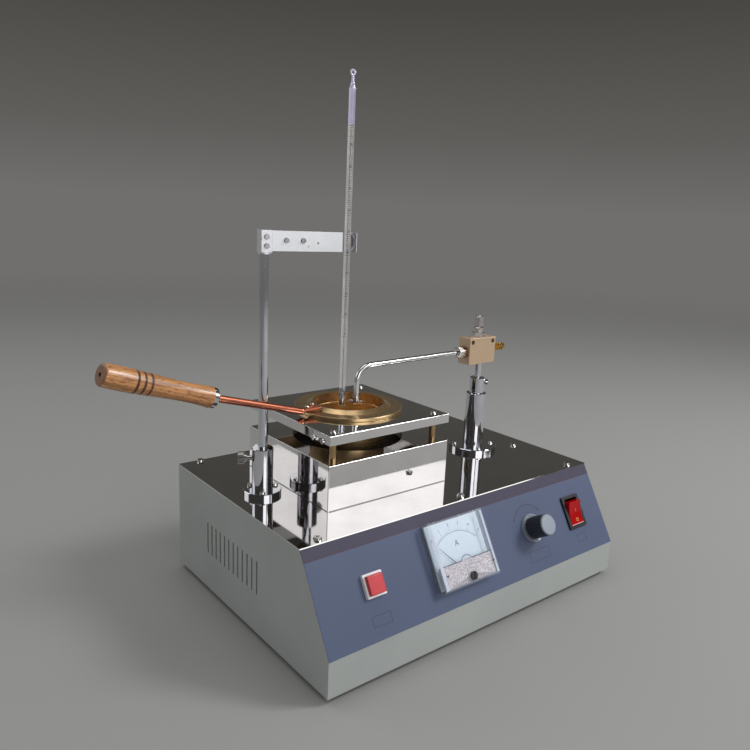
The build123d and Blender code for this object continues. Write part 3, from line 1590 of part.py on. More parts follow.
knob_seat = panel_face.offset(knob_gap)
with BuildPart() as regulator_knob:
    with BuildSketch(knob_seat):
        with Locations((knob_x, knob_v)):
            Circle(knob_skirt_radius)
    extrude(amount=knob_skirt, taper=knob_skirt_taper)
    with BuildSketch(knob_seat):
        with Locations((knob_x, knob_v)):
            Circle(knob_radius)
    extrude(amount=knob_height, taper=math.degrees(math.atan2(knob_radius - knob_top_radius, knob_height)))
    with BuildSketch(knob_seat.offset(knob_skirt + knob_rib_lift)):
        with Locations(*ring_points(knob_radius - joint_gap, knob_ribs, centre=(knob_x, knob_v))):
            Circle(knob_rib_radius)
    extrude(amount=knob_height, mode=Mode.SUBTRACT)
    with BuildSketch(knob_seat.offset(knob_height)):
        with Locations((knob_x, knob_v)):
            Circle(knob_face_radius)
    extrude(amount=knob_face, taper=knob_face_taper)
    with BuildSketch(knob_seat):
        with Locations((knob_x, knob_v)):
            Circle(pot_bush_radius + panel_gap)
    extrude(amount=pot_bush_rise + panel_gap, mode=Mode.SUBTRACT)
    with BuildSketch(knob_seat.offset(pot_bush_rise + panel_gap)):
        with Locations((knob_x, knob_v)):
            Circle(shaft_radius)
    extrude(amount=-2 * pot_bush_rise)
regulator_knob.part.label = "regulator_knob"

rocker_pivot = panel_face.from_local_coords(Vector(rocker_x, rocker_v, -rocker_pivot_depth))
with BuildPart() as rocker_frame:
    with BuildSketch(panel_face):
        with Locations((rocker_x, rocker_v)):
            RectangleRounded(rocker_bezel_width, rocker_bezel_length, rocker_bezel_corner)
    extrude(amount=rocker_bezel_thickness)
    fillet(rocker_frame.edges().group_by(Axis(slope.origin, slope.z_dir))[-1], rocker_bezel_edge)
    with BuildSketch(panel_face):
        with Locations((rocker_x, rocker_v)):
            Rectangle(rocker_body_width, rocker_body_length)
    extrude(amount=-rocker_body_depth)
    with BuildSketch(panel_face.offset(rocker_bezel_thickness)):
        with Locations((rocker_x, rocker_v)):
            Rectangle(rocker_opening_width, rocker_opening_length)
    extrude(amount=rocker_floor - rocker_body_depth - rocker_bezel_thickness, mode=Mode.SUBTRACT)
    with BuildSketch(Plane(origin=rocker_pivot, x_dir=slope.y_dir, z_dir=(1, 0, 0))):
        Circle(rocker_pivot_radius - running_gap)
    extrude(amount=rocker_opening_width / 2 + rocker_pin_root, both=True)
rocker_frame.part.label = "rocker_frame"

# The rocker is drawn across its pivot, leaning so that its upper end stands out of the panel
rocker_turn = math.radians(rocker_tilt)
rocker_lean = Plane(
    origin=rocker_pivot,
    x_dir=slope.y_dir * math.cos(rocker_turn) + slope.z_dir * math.sin(rocker_turn),
    z_dir=(1, 0, 0),
)
rocker_end = rocker_pivot_depth + rocker_rise
with BuildPart() as rocker_cap:
    with BuildSketch(rocker_lean):
        with BuildLine():
            top = ThreePointArc(
                (-rocker_half_length, rocker_end),
                (0, rocker_end - rocker_dip),
                (rocker_half_length, rocker_end),
            )
            Polyline(
                top @ 1,
                (rocker_half_length, rocker_end - rocker_skirt),
                (3 * rocker_pivot_radius, -2 * rocker_pivot_radius),
                (-3 * rocker_pivot_radius, -2 * rocker_pivot_radius),
                (-rocker_half_length, rocker_end - rocker_skirt),
                top @ 0,
            )
        make_face()
        Circle(rocker_pivot_radius, mode=Mode.SUBTRACT)
    extrude(amount=rocker_opening_width / 2 - rocker_gap, both=True)
rocker_cap.part.label = "rocker_cap"

# ------------------------------------------------------------------------- placing and writing
pieces = [
    housing_shell, bottom_plate, *feet, top_panel, panel_screws, front_overlay, power_inlet, control_board,
    furnace_box, furnace_screws, insulation_block, heater_coil, hot_plate, support_plate, *pillars,
    plate_screws, test_cup, cup_handle_rod, cup_rivets, handle_ferrule, wooden_handle, post_base, post_rod,
    post_thumbscrew, arm_clamp, thermometer_arm, arm_screws, thermometer_clip, thermometer_glass,
    thermometer_mercury, column_base, flange_screws, column_bush, column_set_screw, applicator_stem,
    valve_block, valve_gland, needle_knob, tube_nut, gas_tube, gas_nozzle, hose_barb, meter_case, meter_dial,
    meter_cover, meter_mask, meter_needle, meter_zero_screw, button_bezel, button_cap, regulator_pot,
    regulator_knob, rocker_frame, rocker_cap,
]

# The origin is on the bench, under the middle of the whole instrument
whole = Compound([piece.part for piece in pieces]).bounding_box()
to_bench = Location(
    (-(whole.min.X + whole.max.X) / 2, -(whole.min.Y + whole.max.Y) / 2, -whole.min.Z)
)

os.makedirs("parts", exist_ok=True)
for piece in pieces:
    piece.part.move(to_bench)
    export_step(piece.part, f"parts/{piece.part.label}.step")
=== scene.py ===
"""Open cup flash point tester: the finishes, printing and fine pieces that go round the CAD frame.

Lengths are in millimetres in the housing's own frame (x to the right, y to the back, z up, from the
housing's lower front left corner) until at_home() turns them into metres in the row frame.
"""

import math
from functools import partial

import bpy
import numpy as np
from mathutils import Matrix, Vector


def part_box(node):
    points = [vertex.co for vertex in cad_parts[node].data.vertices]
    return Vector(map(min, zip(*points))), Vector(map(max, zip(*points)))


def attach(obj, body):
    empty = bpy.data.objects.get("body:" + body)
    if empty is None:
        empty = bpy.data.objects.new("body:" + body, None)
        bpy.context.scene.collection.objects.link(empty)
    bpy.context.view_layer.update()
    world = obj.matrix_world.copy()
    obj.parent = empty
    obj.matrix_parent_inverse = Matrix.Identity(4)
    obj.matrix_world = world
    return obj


bl_info = {
    "name": "Open Cup Flash Point Tester",
    "version": (1, 0, 0),
    "blender": (4, 5, 0),
    "location": "3D View > Sidebar > Flash Point Tester",
    "description": "Finishes, printing and studio for an open cup flash point tester",
    "category": "Object",
}

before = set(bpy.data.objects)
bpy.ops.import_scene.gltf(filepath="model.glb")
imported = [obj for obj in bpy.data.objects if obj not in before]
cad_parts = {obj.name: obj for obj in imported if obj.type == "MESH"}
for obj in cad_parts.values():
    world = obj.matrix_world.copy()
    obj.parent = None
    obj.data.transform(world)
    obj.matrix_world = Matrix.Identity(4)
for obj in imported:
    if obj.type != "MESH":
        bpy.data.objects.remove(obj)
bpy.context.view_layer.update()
HOME = np.array(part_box("housing_shell")[0])

# Shared places, in millimetres in the housing's frame
SLOPE_FOOT = np.array((0.0, 0.0, 29.0))
SLOPE_ANGLE = math.atan2(70.0, 41.0)
PANEL_UP = np.array((0.0, math.cos(SLOPE_ANGLE), math.sin(SLOPE_ANGLE)))
PANEL_NORMAL = np.array((0.0, -math.sin(SLOPE_ANGLE), math.cos(SLOPE_ANGLE)))
FILM_LEVEL = 0.5
RULE_HEIGHT = 70.0
CUP_PLACE = (118.4, 144.5)
CUP_BORE = 31.75
CUP_RIM = 168.6
POST_PLACE = (30.3, 145.0)
COLUMN_PLACE = (276.5, 135.0)
UNION_PLACE = (256.1, 136.9, 203.0)
THERMOMETER_PLACE = (101.77, 132.27)
STEM_RADIUS = 2.75
EYE_HEIGHT = 443.3
EYE_RADIUS = 1.9
FURNACE_SIDES = (53.4, 183.4, 80.5, 208.5)
DECK = 99.0
KNOB_PLACE = (236.5, 38.4)
KNOB_SKIRT = 3.5
KNOB_END = 21.3
METER_SIDES = (112.4, 173.6)
METER_FRONT = 10.0
MASK_TOP = 34.3
DIAL_LEVEL = 3.6
ROCKER_PIVOT = SLOPE_FOOT + (298.9, 0.0, 0.0) + 39.5 * PANEL_UP - 2.0 * PANEL_NORMAL
ROCKER_SLOPE = SLOPE_ANGLE + math.radians(13.0)
NEEDLE_PLACE = (142.0, 25.3)


# ------------------------------------------------------------------------------- numbers to shapes
def linear(code):
    """An sRGB hex colour such as "#7b7e7d" as linear red, green and blue."""
    parts = np.array([int(code[i : i + 2], 16) for i in (1, 3, 5)]) / 255
    return tuple(np.where(parts <= 0.04045, parts / 12.92, ((parts + 0.055) / 1.055) ** 2.4))


def shade(colour, factor):
    """A linear colour made lighter or darker: factor * c, at most 1."""
    return tuple(min(1.0, factor * c) for c in colour)


def at_home(points):
    """Housing millimetres to row frame metres: home corner + points / 1000."""
    return HOME + np.asarray(points, float) / 1000


def on_panel(across, up, out):
    """Panel distances to housing millimetres: foot + across * x + up * panel up + out * panel normal."""
    across, up, out = np.broadcast_arrays(*(np.asarray(n, float)[..., None] for n in (across, up, out)))
    return SLOPE_FOOT + across * (1.0, 0.0, 0.0) + up * PANEL_UP + out * PANEL_NORMAL


def unit(vectors):
    """Vectors made one long."""
    return vectors / np.linalg.norm(vectors, axis=-1, keepdims=True)


def carried(path, side, profile):
    """A closed profile, drawn anticlockwise, carried along a path, with both ends filled.

    point(i, j) = path[i] + profile[j].x * side[i] + profile[j].y * up[i], where up is the run's own
    direction crossed with side. Gives the points and the faces.
    """
    path = np.asarray(path, float)
    side = unit(np.broadcast_to(np.asarray(side, float), path.shape))
    run = unit(np.gradient(path, axis=0))
    up = unit(np.cross(run, side))
    profile = np.asarray(profile, float)
    grid = path[:, None] + profile[None, :, :1] * side[:, None] + profile[None, :, 1:] * up[:, None]
    rows, around = len(path), len(profile)
    i, j = (n.ravel() for n in np.meshgrid(np.arange(rows - 1), np.arange(around), indexing="ij"))
    k = (j + 1) % around
    quads = np.stack([i * around + j, i * around + k, (i + 1) * around + k, (i + 1) * around + j], -1)
    last = (rows - 1) * around
    faces = quads.tolist() + [list(range(around))[::-1], list(range(last, last + around))]
    return grid.reshape(-1, 3), faces


def turned(foot, axis, profile, steps):
    """A profile of (radius, height) points turned about an axis; a radius of 0 closes to one point.

    point(i, j) = foot + height[i] * axis + radius[i] * (cos t[j] * a + sin t[j] * b), t[j] even steps
    of the full turn and a, b across the axis.
    """
    axis = unit(np.asarray(axis, float))
    a = unit(np.cross(axis, (0.0, 1.0, 0.0) if abs(axis[1]) < 0.9 else (1.0, 0.0, 0.0)))
    b = np.cross(axis, a)
    t = np.arange(steps) * 2 * math.pi / steps
    circle = np.cos(t)[:, None] * a + np.sin(t)[:, None] * b
    points, rings = [], []
    for radius, height in profile:
        centre = np.asarray(foot, float) + height * axis
        first = sum(len(p) for p in points)
        if radius == 0:
            points.append(centre[None])
            rings.append(np.full(steps, first))
        else:
            points.append(centre + radius * circle)
            rings.append(first + np.arange(steps))
    faces = []
    for lower, upper in zip(rings, rings[1:]):
        quads = np.stack([lower, np.roll(lower, -1), np.roll(upper, -1), upper], -1)
        faces += [list(dict.fromkeys(face)) for face in quads.tolist()]
    return np.concatenate(points), faces


def joined(shapes):
    """Several (points, faces) shapes as one."""
    points, faces, first = [], [], 0
    for shape_points, shape_faces in shapes:
        points.append(shape_points)
        faces += [[first + corner for corner in face] for face in shape_faces]
        first += len(shape_points)
    return np.concatenate(points), faces


def make_piece(name, shape, body, material, smooth_under=None):
    """Puts a (points, faces) shape, in housing millimetres, into a mesh that rides on a body."""
    points, faces = shape
    mesh = bpy.data.meshes.new(name)
    mesh.from_pydata(at_home(points).tolist(), [], faces)
    mesh.materials.append(material)
    if smooth_under is not None:
        mesh.shade_smooth()
        mesh.set_sharp_from_angle(angle=math.radians(smooth_under))
    mesh.update()
    piece = bpy.data.objects.new(name, mesh)
    bpy.context.scene.collection.objects.link(piece)
    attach(piece, body)
    return piece


def ink_line(path, normal, width, thickness=0.05):
    """A printed line: a rectangle, width across and thickness high, carried along its path."""
    path = np.asarray(path, float)
    side = np.cross(np.broadcast_to(normal, path.shape), unit(np.gradient(path, axis=0)))
    half = width / 2
    return carried(path, side, ((-half, 0), (half, 0), (half, thickness), (-half, thickness)))


def polar(centre, radius, degrees):
    """The two coordinates at a radius and an angle from a centre: centre + radius * (cos t, sin t)."""
    t = np.radians(degrees)
    return centre[0] + radius * np.cos(t), centre[1] + radius * np.sin(t)


def panel_line(across, up, level, width):
    """A line printed on the sloped panel through the points (across, up)."""
    return ink_line(on_panel(across, up, level), PANEL_NORMAL, width)


def panel_box(left, right, low, high, level, width):
    """The outline of a box printed on the panel: two long runs and two short ones between them."""
    inset = width / 2
    return joined([
        panel_line((left, right), (low + inset, low + inset), level, width),
        panel_line((left, right), (high - inset, high - inset), level, width),
        panel_line((left + inset, left + inset), (low + width, high - width), level, width),
        panel_line((right - inset, right - inset), (low + width, high - width), level, width),
    ])


def panel_arc(centre, radius, first, last, level, width, steps=96):
    """An arc printed on the panel round a centre, from the first to the last angle in degrees."""
    return panel_line(*polar(centre, radius, np.linspace(first, last, steps)), level, width)


def panel_tick(centre, radius, length, angle, level, width):
    """A short radial line on the panel, from the radius outwards."""
    reach = np.array((radius, radius + length / 2, radius + length))
    return panel_line(*polar(centre, reach, angle), level, width)


def panel_dot(across, up, level, radius, height=0.05):
    """A low disc on the panel: its profile turned about the panel's normal."""
    profile = ((0, 0), (radius, 0), (radius, height), (0, height))
    return turned(on_panel(across, up, level), PANEL_NORMAL, profile, 20)


def printed_text(words, size, place, across, up, thickness=0.04):
    """Letters as a shape: Blender's font made a mesh, then place + x * across + y * up + z * out."""
    curve = bpy.data.curves.new("letters", "FONT")
    curve.body, curve.size, curve.align_x, curve.align_y = words, size, "CENTER", "CENTER"
    curve.extrude, curve.resolution_u = thickness / 2, 3
    writing = bpy.data.objects.new("letters", curve)
    bpy.context.scene.collection.objects.link(writing)
    bpy.context.view_layer.update()
    mesh = bpy.data.meshes.new_from_object(writing)
    flat = np.empty(len(mesh.vertices) * 3)
    mesh.vertices.foreach_get("co", flat)
    flat = flat.reshape(-1, 3)
    faces = [list(face.vertices) for face in mesh.polygons]
    bpy.data.objects.remove(writing)
    bpy.data.curves.remove(curve)
    bpy.data.meshes.remove(mesh)
    across, up = np.asarray(across, float), np.asarray(up, float)
    out = np.cross(across, up)
    shape = place + flat[:, :1] * across + flat[:, 1:2] * up + (flat[:, 2:] + thickness / 2) * out
    return shape, faces


def panel_text(words, size, across, up, level, turn=0.0):
    """Letters that stand on the panel, turned by an angle in degrees."""
    c, s = math.cos(math.radians(turn)), math.sin(math.radians(turn))
    right = np.array((1.0, 0.0, 0.0))
    place = on_panel(across, up, level)
    return printed_text(words, size, place, c * right + s * PANEL_UP, c * PANEL_UP - s * right)


# ------------------------------------------------------------------------------------- materials
def add_node(tree, kind, inputs=(), stops=(), **settings):
    """Adds a shader node with its settings and links.

    Inputs are named in a dict or go in order in a list, and each is a value, a socket, or a node whose
    first live output is linked. Stops are a colour ramp's (position, linear colour) pairs.
    """
    node = tree.nodes.new("ShaderNode" + kind)
    for name, value in settings.items():
        setattr(node, name, value)
    for name, value in inputs.items() if isinstance(inputs, dict) else enumerate(inputs):
        socket = node.inputs[name]
        if isinstance(value, bpy.types.Node):
            value = next(output for output in value.outputs if output.enabled)
        if isinstance(value, bpy.types.NodeSocket):
            tree.links.new(value, socket)
        elif socket.type == "RGBA":
            socket.default_value = (*value[:3], 1)
        else:
            socket.default_value = value
    for number, (position, colour) in enumerate(stops):
        elements = node.color_ramp.elements
        element = elements[number] if number < 2 else elements.new(position)
        element.position, element.color = position, (*colour, 1)
    return node


def open_material(name):
    """An empty material, and add_node for its tree."""
    material = bpy.data.materials.new(name)
    material.use_nodes = True
    material.node_tree.nodes.clear()
    return material, partial(add_node, material.node_tree)


def close_material(material, surface):
    """Ends a material in a Principled shader with these inputs."""
    add = partial(add_node, material.node_tree)
    add("OutputMaterial", {"Surface": add("BsdfPrincipled", surface)})
    return material


def in_millimetres(add, place=(0, 0, 0), turn=(0, 0, 0), stretch=(1, 1, 1)):
    """Object coordinates in millimetres, measured from a place in the housing's frame and turned."""
    moved = add("Mapping", {
        "Vector": add("TexCoord").outputs["Object"],
        "Location": tuple(at_home(place)),
        "Rotation": turn,
    }, vector_type="TEXTURE")
    return add("VectorMath", [moved, tuple(1000 * s for s in stretch)], operation="MULTIPLY")


def round_axis(add, place):
    """The height of a place's points on its own z axis, and their distance from that axis."""
    parts = add("SeparateXYZ", [place]).outputs
    level = add("CombineXYZ", [parts["X"], parts["Y"]])
    return parts["Z"], add("VectorMath", [level], operation="LENGTH").outputs["Value"]


def dress(material, *nodes):
    """Gives CAD nodes a material through their objects' own slots."""
    for name in nodes:
        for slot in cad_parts[name].material_slots:
            slot.material = material


def grained(name, colour, scale, tones, roughness, depth=0.0, detail=2.0, metallic=0.0, patches=None,
            place=(0, 0, 0), stretch=(1.0, 1.0, 1.0)):
    """A surface whose gloss and relief follow one noise, and its tone the same noise or slower patches.

    Scales are in cells per mm, depth in mm, and tones are the shades of the colour at the noise's lows
    and highs. Each caller says what the material is, how it was made and what the eye sees.
    """
    material, add = open_material(name)
    grain = add("TexNoise", {
        "Vector": in_millimetres(add, place, stretch=stretch), "Scale": scale, "Detail": detail})
    slow = grain
    if patches is not None:
        slow = add("TexNoise", {"Vector": in_millimetres(add), "Scale": patches, "Detail": detail})
    stops = [(0.3, shade(colour, tones[0])), (0.7, shade(colour, tones[1]))]
    surface = {
        "Base Color": add("ValToRGB", [slow], stops),
        "Roughness": add("MapRange", [grain, 0.3, 0.7, *roughness]),
        "Metallic": metallic,
    }
    if depth:
        surface["Normal"] = add("Bump", {"Height": grain, "Distance": depth / 1000})
    return close_material(material, surface)


def worked_metal(name, colour, roughness, place=(0, 0, 0), stretch=(1.0, 1.0, 1.0), scale=0.5,
                 depth=0.003, spread=0.05, wear=0.06):
    """A bare or plated metal: tool marks run along the work, and handling dulls patches 14 mm across."""
    gloss = (max(0.02, roughness - spread), roughness + spread)
    return grained(name, colour, scale, (1 - wear, 1 + wear), gloss, depth, 3.0, 1.0, 0.07, place, stretch)


def moulded_plastic(name, colour, roughness, grain=0.9, depth=0.02):
    """An injection moulded plastic: a spark-eroded grain, and a slight flow in its tone."""
    gloss = (roughness - 0.06, roughness + 0.06)
    return grained(name, colour, grain, (0.92, 1.06), gloss, depth, patches=0.06)


def printing_ink(name, colour):
    """Screen printing ink, a few hundredths of a millimetre thick: matt, a little thinner in places."""
    return grained(name, colour, 1.0, (0.85, 1.15), (0.6, 0.6))


def powder_coated_steel(colour):
    # Sheet steel, powder coated and baked: satin, with the faint orange peel of the powder's flow and a
    # slow drift in tone. The peel's 1 mm cells are drawn at 2.4 mm, because finer ones don't show.
    material, add = open_material("powder_coated_steel")
    place = in_millimetres(add)
    drift = add("TexNoise", {"Vector": place, "Scale": 0.012, "Detail": 3.0})
    peel = add("TexNoise", {"Vector": place, "Scale": 0.42, "Detail": 2.0})
    tone = add("ValToRGB", [drift], [(0.3, shade(colour, 0.93)), (0.7, shade(colour, 1.05))])
    fleck = add("MapRange", [peel, 0.3, 0.7, 0.97, 1.03])
    return close_material(material, {
        "Base Color": add("VectorMath", {0: tone, "Scale": fleck}, operation="SCALE"),
        "Roughness": add("MapRange", [peel, 0.3, 0.7, 0.42, 0.52]),
        "Specular IOR Level": 0.4,
        "Normal": add("Bump", {"Height": peel, "Distance": 0.00005}),
    })


def galvanised_steel():
    # Hot-dip galvanised sheet: crystals of zinc about 8 mm across, each with its own grey and gloss.
    material, add = open_material("galvanised_steel")
    cells = add("TexVoronoi", {"Vector": in_millimetres(add), "Scale": 0.12})
    crystals = cells.outputs["Color"]
    stops = [(0.2, linear("#8b9092")), (0.8, linear("#a9adaf"))]
    return close_material(material, {
        "Base Color": add("ValToRGB", [crystals], stops),
        "Roughness": add("MapRange", [crystals, 0.0, 1.0, 0.35, 0.55]),
        "Metallic": 1.0,
    })


def mirror_stainless(name, steel, rim):
    # Stainless sheet, buffed to a mirror and folded. Its folds, picked out by which way the surface faces,
    # are given their own colour as painted light, standing in for how they catch the lamps. Wiping
    # leaves faint lines along x, drawn 1.5 mm apart so that they show, and dull patches.
    material, add = open_material(name)
    facing = add("SeparateXYZ", [add("TexCoord").outputs["Normal"]]).outputs["Z"]
    # Painted light: faces between upright and level, the folds, take the rim colour in place of the steel
    folds = add("ValToRGB", [facing], [(0.12, steel), (0.2, rim), (0.9, rim), (0.97, steel)])
    wear = add("TexNoise", {"Vector": in_millimetres(add), "Scale": 0.035, "Detail": 4.0})
    lines = add("TexNoise", {
        "Vector": in_millimetres(add, stretch=(0.02, 1.0, 1.0)), "Scale": 0.7, "Detail": 3.0})
    bright = add("MapRange", [wear, 0.3, 0.7, 0.95, 1.04])
    return close_material(material, {
        "Base Color": add("VectorMath", {0: folds, "Scale": bright}, operation="SCALE"),
        "Roughness": add("MapRange", [wear, 0.35, 0.75, 0.03, 0.08]),
        "Metallic": 1.0,
        "Normal": add("Bump", {"Height": lines, "Distance": 0.000003}),
    })


def printed_film(colour, strip):
    # Polycarbonate overlay film with a fine velvet grain, printed slate blue on its back and greyer
    # above the rule: matt, with a soft sheen. The 0.2 mm grain is drawn at 1.2 mm.
    material, add = open_material("polycarbonate_film")
    place = in_millimetres(add, SLOPE_FOOT, (SLOPE_ANGLE, 0.0, 0.0))
    grain = add("TexNoise", {"Vector": place, "Scale": 0.85, "Detail": 2.0})
    drift = add("TexNoise", {"Vector": place, "Scale": 0.01, "Detail": 2.0})
    height = add("SeparateXYZ", [place]).outputs["Y"]
    above = add("MapRange", [height, RULE_HEIGHT - 0.1, RULE_HEIGHT + 0.1, 0.0, 1.0])
    print_tone = add("Mix", {0: above, 6: colour, 7: strip}, data_type="RGBA")
    bright = add("MapRange", [drift, 0.3, 0.7, 0.95, 1.05])
    return close_material(material, {
        "Base Color": add("VectorMath", {0: print_tone, "Scale": bright}, operation="SCALE"),
        "Roughness": add("MapRange", [grain, 0.3, 0.7, 0.4, 0.54]),
        "Specular IOR Level": 0.22,
        "Normal": add("Bump", {"Height": grain, "Distance": 0.00002}),
    })


def heat_tinted_brass(colour, tint):
    # A cup turned from brass bar: lathe rings 0.8 mm apart on the flange, and inside it the orange-brown
    # tint that hot oil leaves, darker down the wall.
    material, add = open_material("turned_brass")
    place = in_millimetres(add, (*CUP_PLACE, CUP_RIM))
    height, radius = round_axis(add, place)
    inside = add("MapRange", [radius, CUP_BORE + 0.15, CUP_BORE + 0.55, 1.0, 0.0])
    below = add("MapRange", [height, -0.4, -3.0, 0.0, 1.0])
    tinted = add("Math", [inside, below], operation="MULTIPLY")
    stain = add("TexNoise", {"Vector": place, "Scale": 0.09, "Detail": 5.0})
    bare = add("ValToRGB", [stain], [(0.3, shade(colour, 0.86)), (0.7, shade(colour, 1.08))])
    oiled = add("ValToRGB", [stain], [(0.3, shade(tint, 0.75)), (0.7, shade(tint, 1.15))])
    turning = add("CombineXYZ", {0: radius, 2: height})
    rings = add("TexNoise", {"Vector": turning, "Scale": 1.6, "Detail": 1.0})
    return close_material(material, {
        "Base Color": add("Mix", {0: tinted, 6: bare, 7: oiled}, data_type="RGBA"),
        "Roughness": add("MapRange", [rings, 0.3, 0.7, 0.26, 0.36]),
        "Metallic": 1.0,
        "Normal": add("Bump", {"Height": rings, "Distance": 0.000004}),
    })


def drawn_copper(colour):
    # Copper rod, drawn and polished, then warmed by the furnace: rosy and glossy, darker in patches.
    material, add = open_material("drawn_copper")
    heat = add("TexNoise", {"Vector": in_millimetres(add), "Scale": 0.05, "Detail": 4.0})
    return close_material(material, {
        "Base Color": add("ValToRGB", [heat], [
            (0.25, shade(colour, 0.6)), (0.5, colour), (0.8, shade(colour, 1.2))]),
        "Roughness": add("MapRange", [heat, 0.3, 0.7, 0.42, 0.3]),
        "Metallic": 1.0,
        "Normal": add("Bump", {"Height": heat, "Distance": 0.00001}),
    })


def lacquered_beech(colour, dark, foot, azimuth, rise, length, grooves):
    # A handle turned from beech and lacquered: grain lines run along it 2 mm apart, with short darker
    # flecks. The turned grooves are darkened, the sawn end is greyer, and the inside of the hole in the
    # end is coloured dark, a painted shade.
    material, add = open_material("lacquered_beech")
    along = in_millimetres(add, foot, (0.0, math.pi / 2 - rise, azimuth))
    height, radius = round_axis(add, along)
    long = add("VectorMath", [along, (1.0, 1.0, 0.06)], operation="MULTIPLY")
    short = add("VectorMath", [along, (1.0, 1.0, 0.25)], operation="MULTIPLY")
    grain = add("TexNoise", {"Vector": long, "Scale": 0.5, "Detail": 5.0, "Distortion": 0.6})
    bands = add("TexWave", {
        "Vector": long, "Scale": 0.11, "Distortion": 5.0, "Detail": 3.0, "Detail Scale": 1.2,
    }, wave_type="BANDS", bands_direction="X")
    flecks = add("TexNoise", {"Vector": short, "Scale": 1.1, "Detail": 2.0})
    tone = add("ValToRGB", [grain], [(0.36, dark), (0.5, colour), (0.66, shade(colour, 1.18))])
    soft = add("MapRange", {"Value": bands, "To Max": 0.6})
    tone = add("Mix", {0: soft, 6: tone, 7: shade(colour, 0.66)}, data_type="RGBA")
    speck = add("MapRange", [flecks, 0.55, 0.66, 0.0, 0.75])
    tone = add("Mix", {0: speck, 6: tone, 7: dark}, data_type="RGBA")
    end = add("MapRange", [height, length - 1.2, length - 0.4, 0.0, 0.8])
    tone = add("Mix", {0: end, 6: tone, 7: shade(linear("#7d5a44"), 0.9)}, data_type="RGBA")
    # Painted shade: within about 2 mm of the axis over the last 6 mm, inside the end's hole, the wood is
    # dark
    hole_shade = add("MapRange", [radius, 1.6, 2.0, 1.0, 0.0])
    outer = add("MapRange", [height, length - 6.0, length - 5.5, 0.0, 1.0])
    dark_grooves_and_hole_shade = add("Math", [hole_shade, outer], operation="MULTIPLY")
    for groove in grooves:
        away = add("Math", [height, groove], operation="SUBTRACT")
        away = add("Math", [away], operation="ABSOLUTE")
        mark = add("MapRange", [away, 0.6, 1.3, 1.0, 0.0])
        dark_grooves_and_hole_shade = add("Math", [dark_grooves_and_hole_shade, mark], operation="MAXIMUM")
    return close_material(material, {
        "Base Color": add("Mix", {0: dark_grooves_and_hole_shade, 6: tone, 7: linear("#4a2a19")}, data_type="RGBA"),
        "Roughness": add("MapRange", [grain, 0.3, 0.7, 0.46, 0.32]),
        "Coat Weight": 0.3,
        "Coat Roughness": 0.2,
        "Normal": add("Bump", {"Height": grain, "Distance": 0.00005}),
    })


def borosilicate_glass():
    # A thermometer's drawn borosilicate stem: clear and smooth, a little wavy along its length.
    material, add = open_material("borosilicate_glass")
    draw = add("TexNoise", {
        "Vector": in_millimetres(add, stretch=(1, 1, 0.05)), "Scale": 0.5, "Detail": 1.0})
    return close_material(material, {
        "Base Color": linear("#f0f1f7"),
        "Roughness": 0.04,
        "IOR": 1.474,
        "Transmission Weight": 1.0,
        "Normal": add("Bump", {"Height": draw, "Distance": 0.00001}),
    })


def moulded_acrylic():
    # A meter's cover, injection moulded in clear acrylic: light goes straight through the thin wall, and
    # only its gloss and a faint blue-white cast show.
    material, add = open_material("moulded_acrylic")
    flow = add("TexNoise", {"Vector": in_millimetres(add), "Scale": 0.08, "Detail": 2.0})
    return close_material(material, {
        "Base Color": linear("#c3ccd9"),
        "Roughness": add("MapRange", [flow, 0.3, 0.7, 0.05, 0.12]),
        "IOR": 1.49,
        "Alpha": 0.16,
        "Normal": add("Bump", {"Height": flow, "Distance": 0.00005}),
    })


def capped_phenolic(dark, face, skirt):
    # A ribbed knob moulded in black phenolic, with a spun aluminium disc let into its end and a satin
    # aluminium skirt with a ring at its rim 1.9 times lighter. The spinning lines are 0.6 mm apart.
    material, add = open_material("capped_phenolic")
    place = in_millimetres(add, on_panel(*KNOB_PLACE, 0.0), (SLOPE_ANGLE, 0.0, 0.0))
    height, radius = round_axis(add, place)
    low = add("MapRange", [height, KNOB_SKIRT, KNOB_SKIRT + 0.2, 1.0, 0.0])
    high = add("MapRange", [height, KNOB_END - 0.1, KNOB_END + 0.1, 0.0, 1.0])
    rim = add("MapRange", [radius, 11.9, 12.3, 0.0, 1.0])
    spun = add("TexNoise", {"Vector": add("CombineXYZ", [radius]), "Scale": 1.6, "Detail": 1.0})
    ring = add("Mix", {0: rim, 6: skirt, 7: shade(skirt, 1.9)}, data_type="RGBA")
    tone = add("Mix", {0: low, 6: dark, 7: ring}, data_type="RGBA")
    bare = add("Math", [low, high], operation="MAXIMUM")
    return close_material(material, {
        "Base Color": add("Mix", {0: high, 6: tone, 7: face}, data_type="RGBA"),
        "Roughness": add("MapRange", [spun, 0.3, 0.7, 0.3, 0.42]),
        "Metallic": add("Math", [bare, 0.7], operation="MULTIPLY"),
        "Normal": add("Bump", {"Height": spun, "Distance": 0.00003}),
    })


def glossy_polycarbonate(colour, edge):
    # A rocker moulded in glossy polycarbonate: deep, clean red, with a paler pink band along its thin
    # lower lip that is a painted highlight.
    material, add = open_material("glossy_polycarbonate")
    parts = add("SeparateXYZ", [in_millimetres(add, ROCKER_PIVOT, (ROCKER_SLOPE, 0.0, 0.0))])
    lip_highlight = add("MapRange", [parts.outputs["Y"], -10.7, -10.2, 0.75, 0.0])
    flow = add("TexNoise", {"Vector": in_millimetres(add), "Scale": 0.12, "Detail": 2.0})
    red = add("ValToRGB", [flow], [(0.3, shade(colour, 0.85)), (0.7, shade(colour, 1.15))])
    return close_material(material, {
        "Base Color": add("Mix", {0: lip_highlight, 6: red, 7: edge}, data_type="RGBA"),
        "Roughness": 0.2,
        "Specular IOR Level": 0.15,
        "Normal": add("Bump", {"Height": flow, "Distance": 0.00004}),
    })


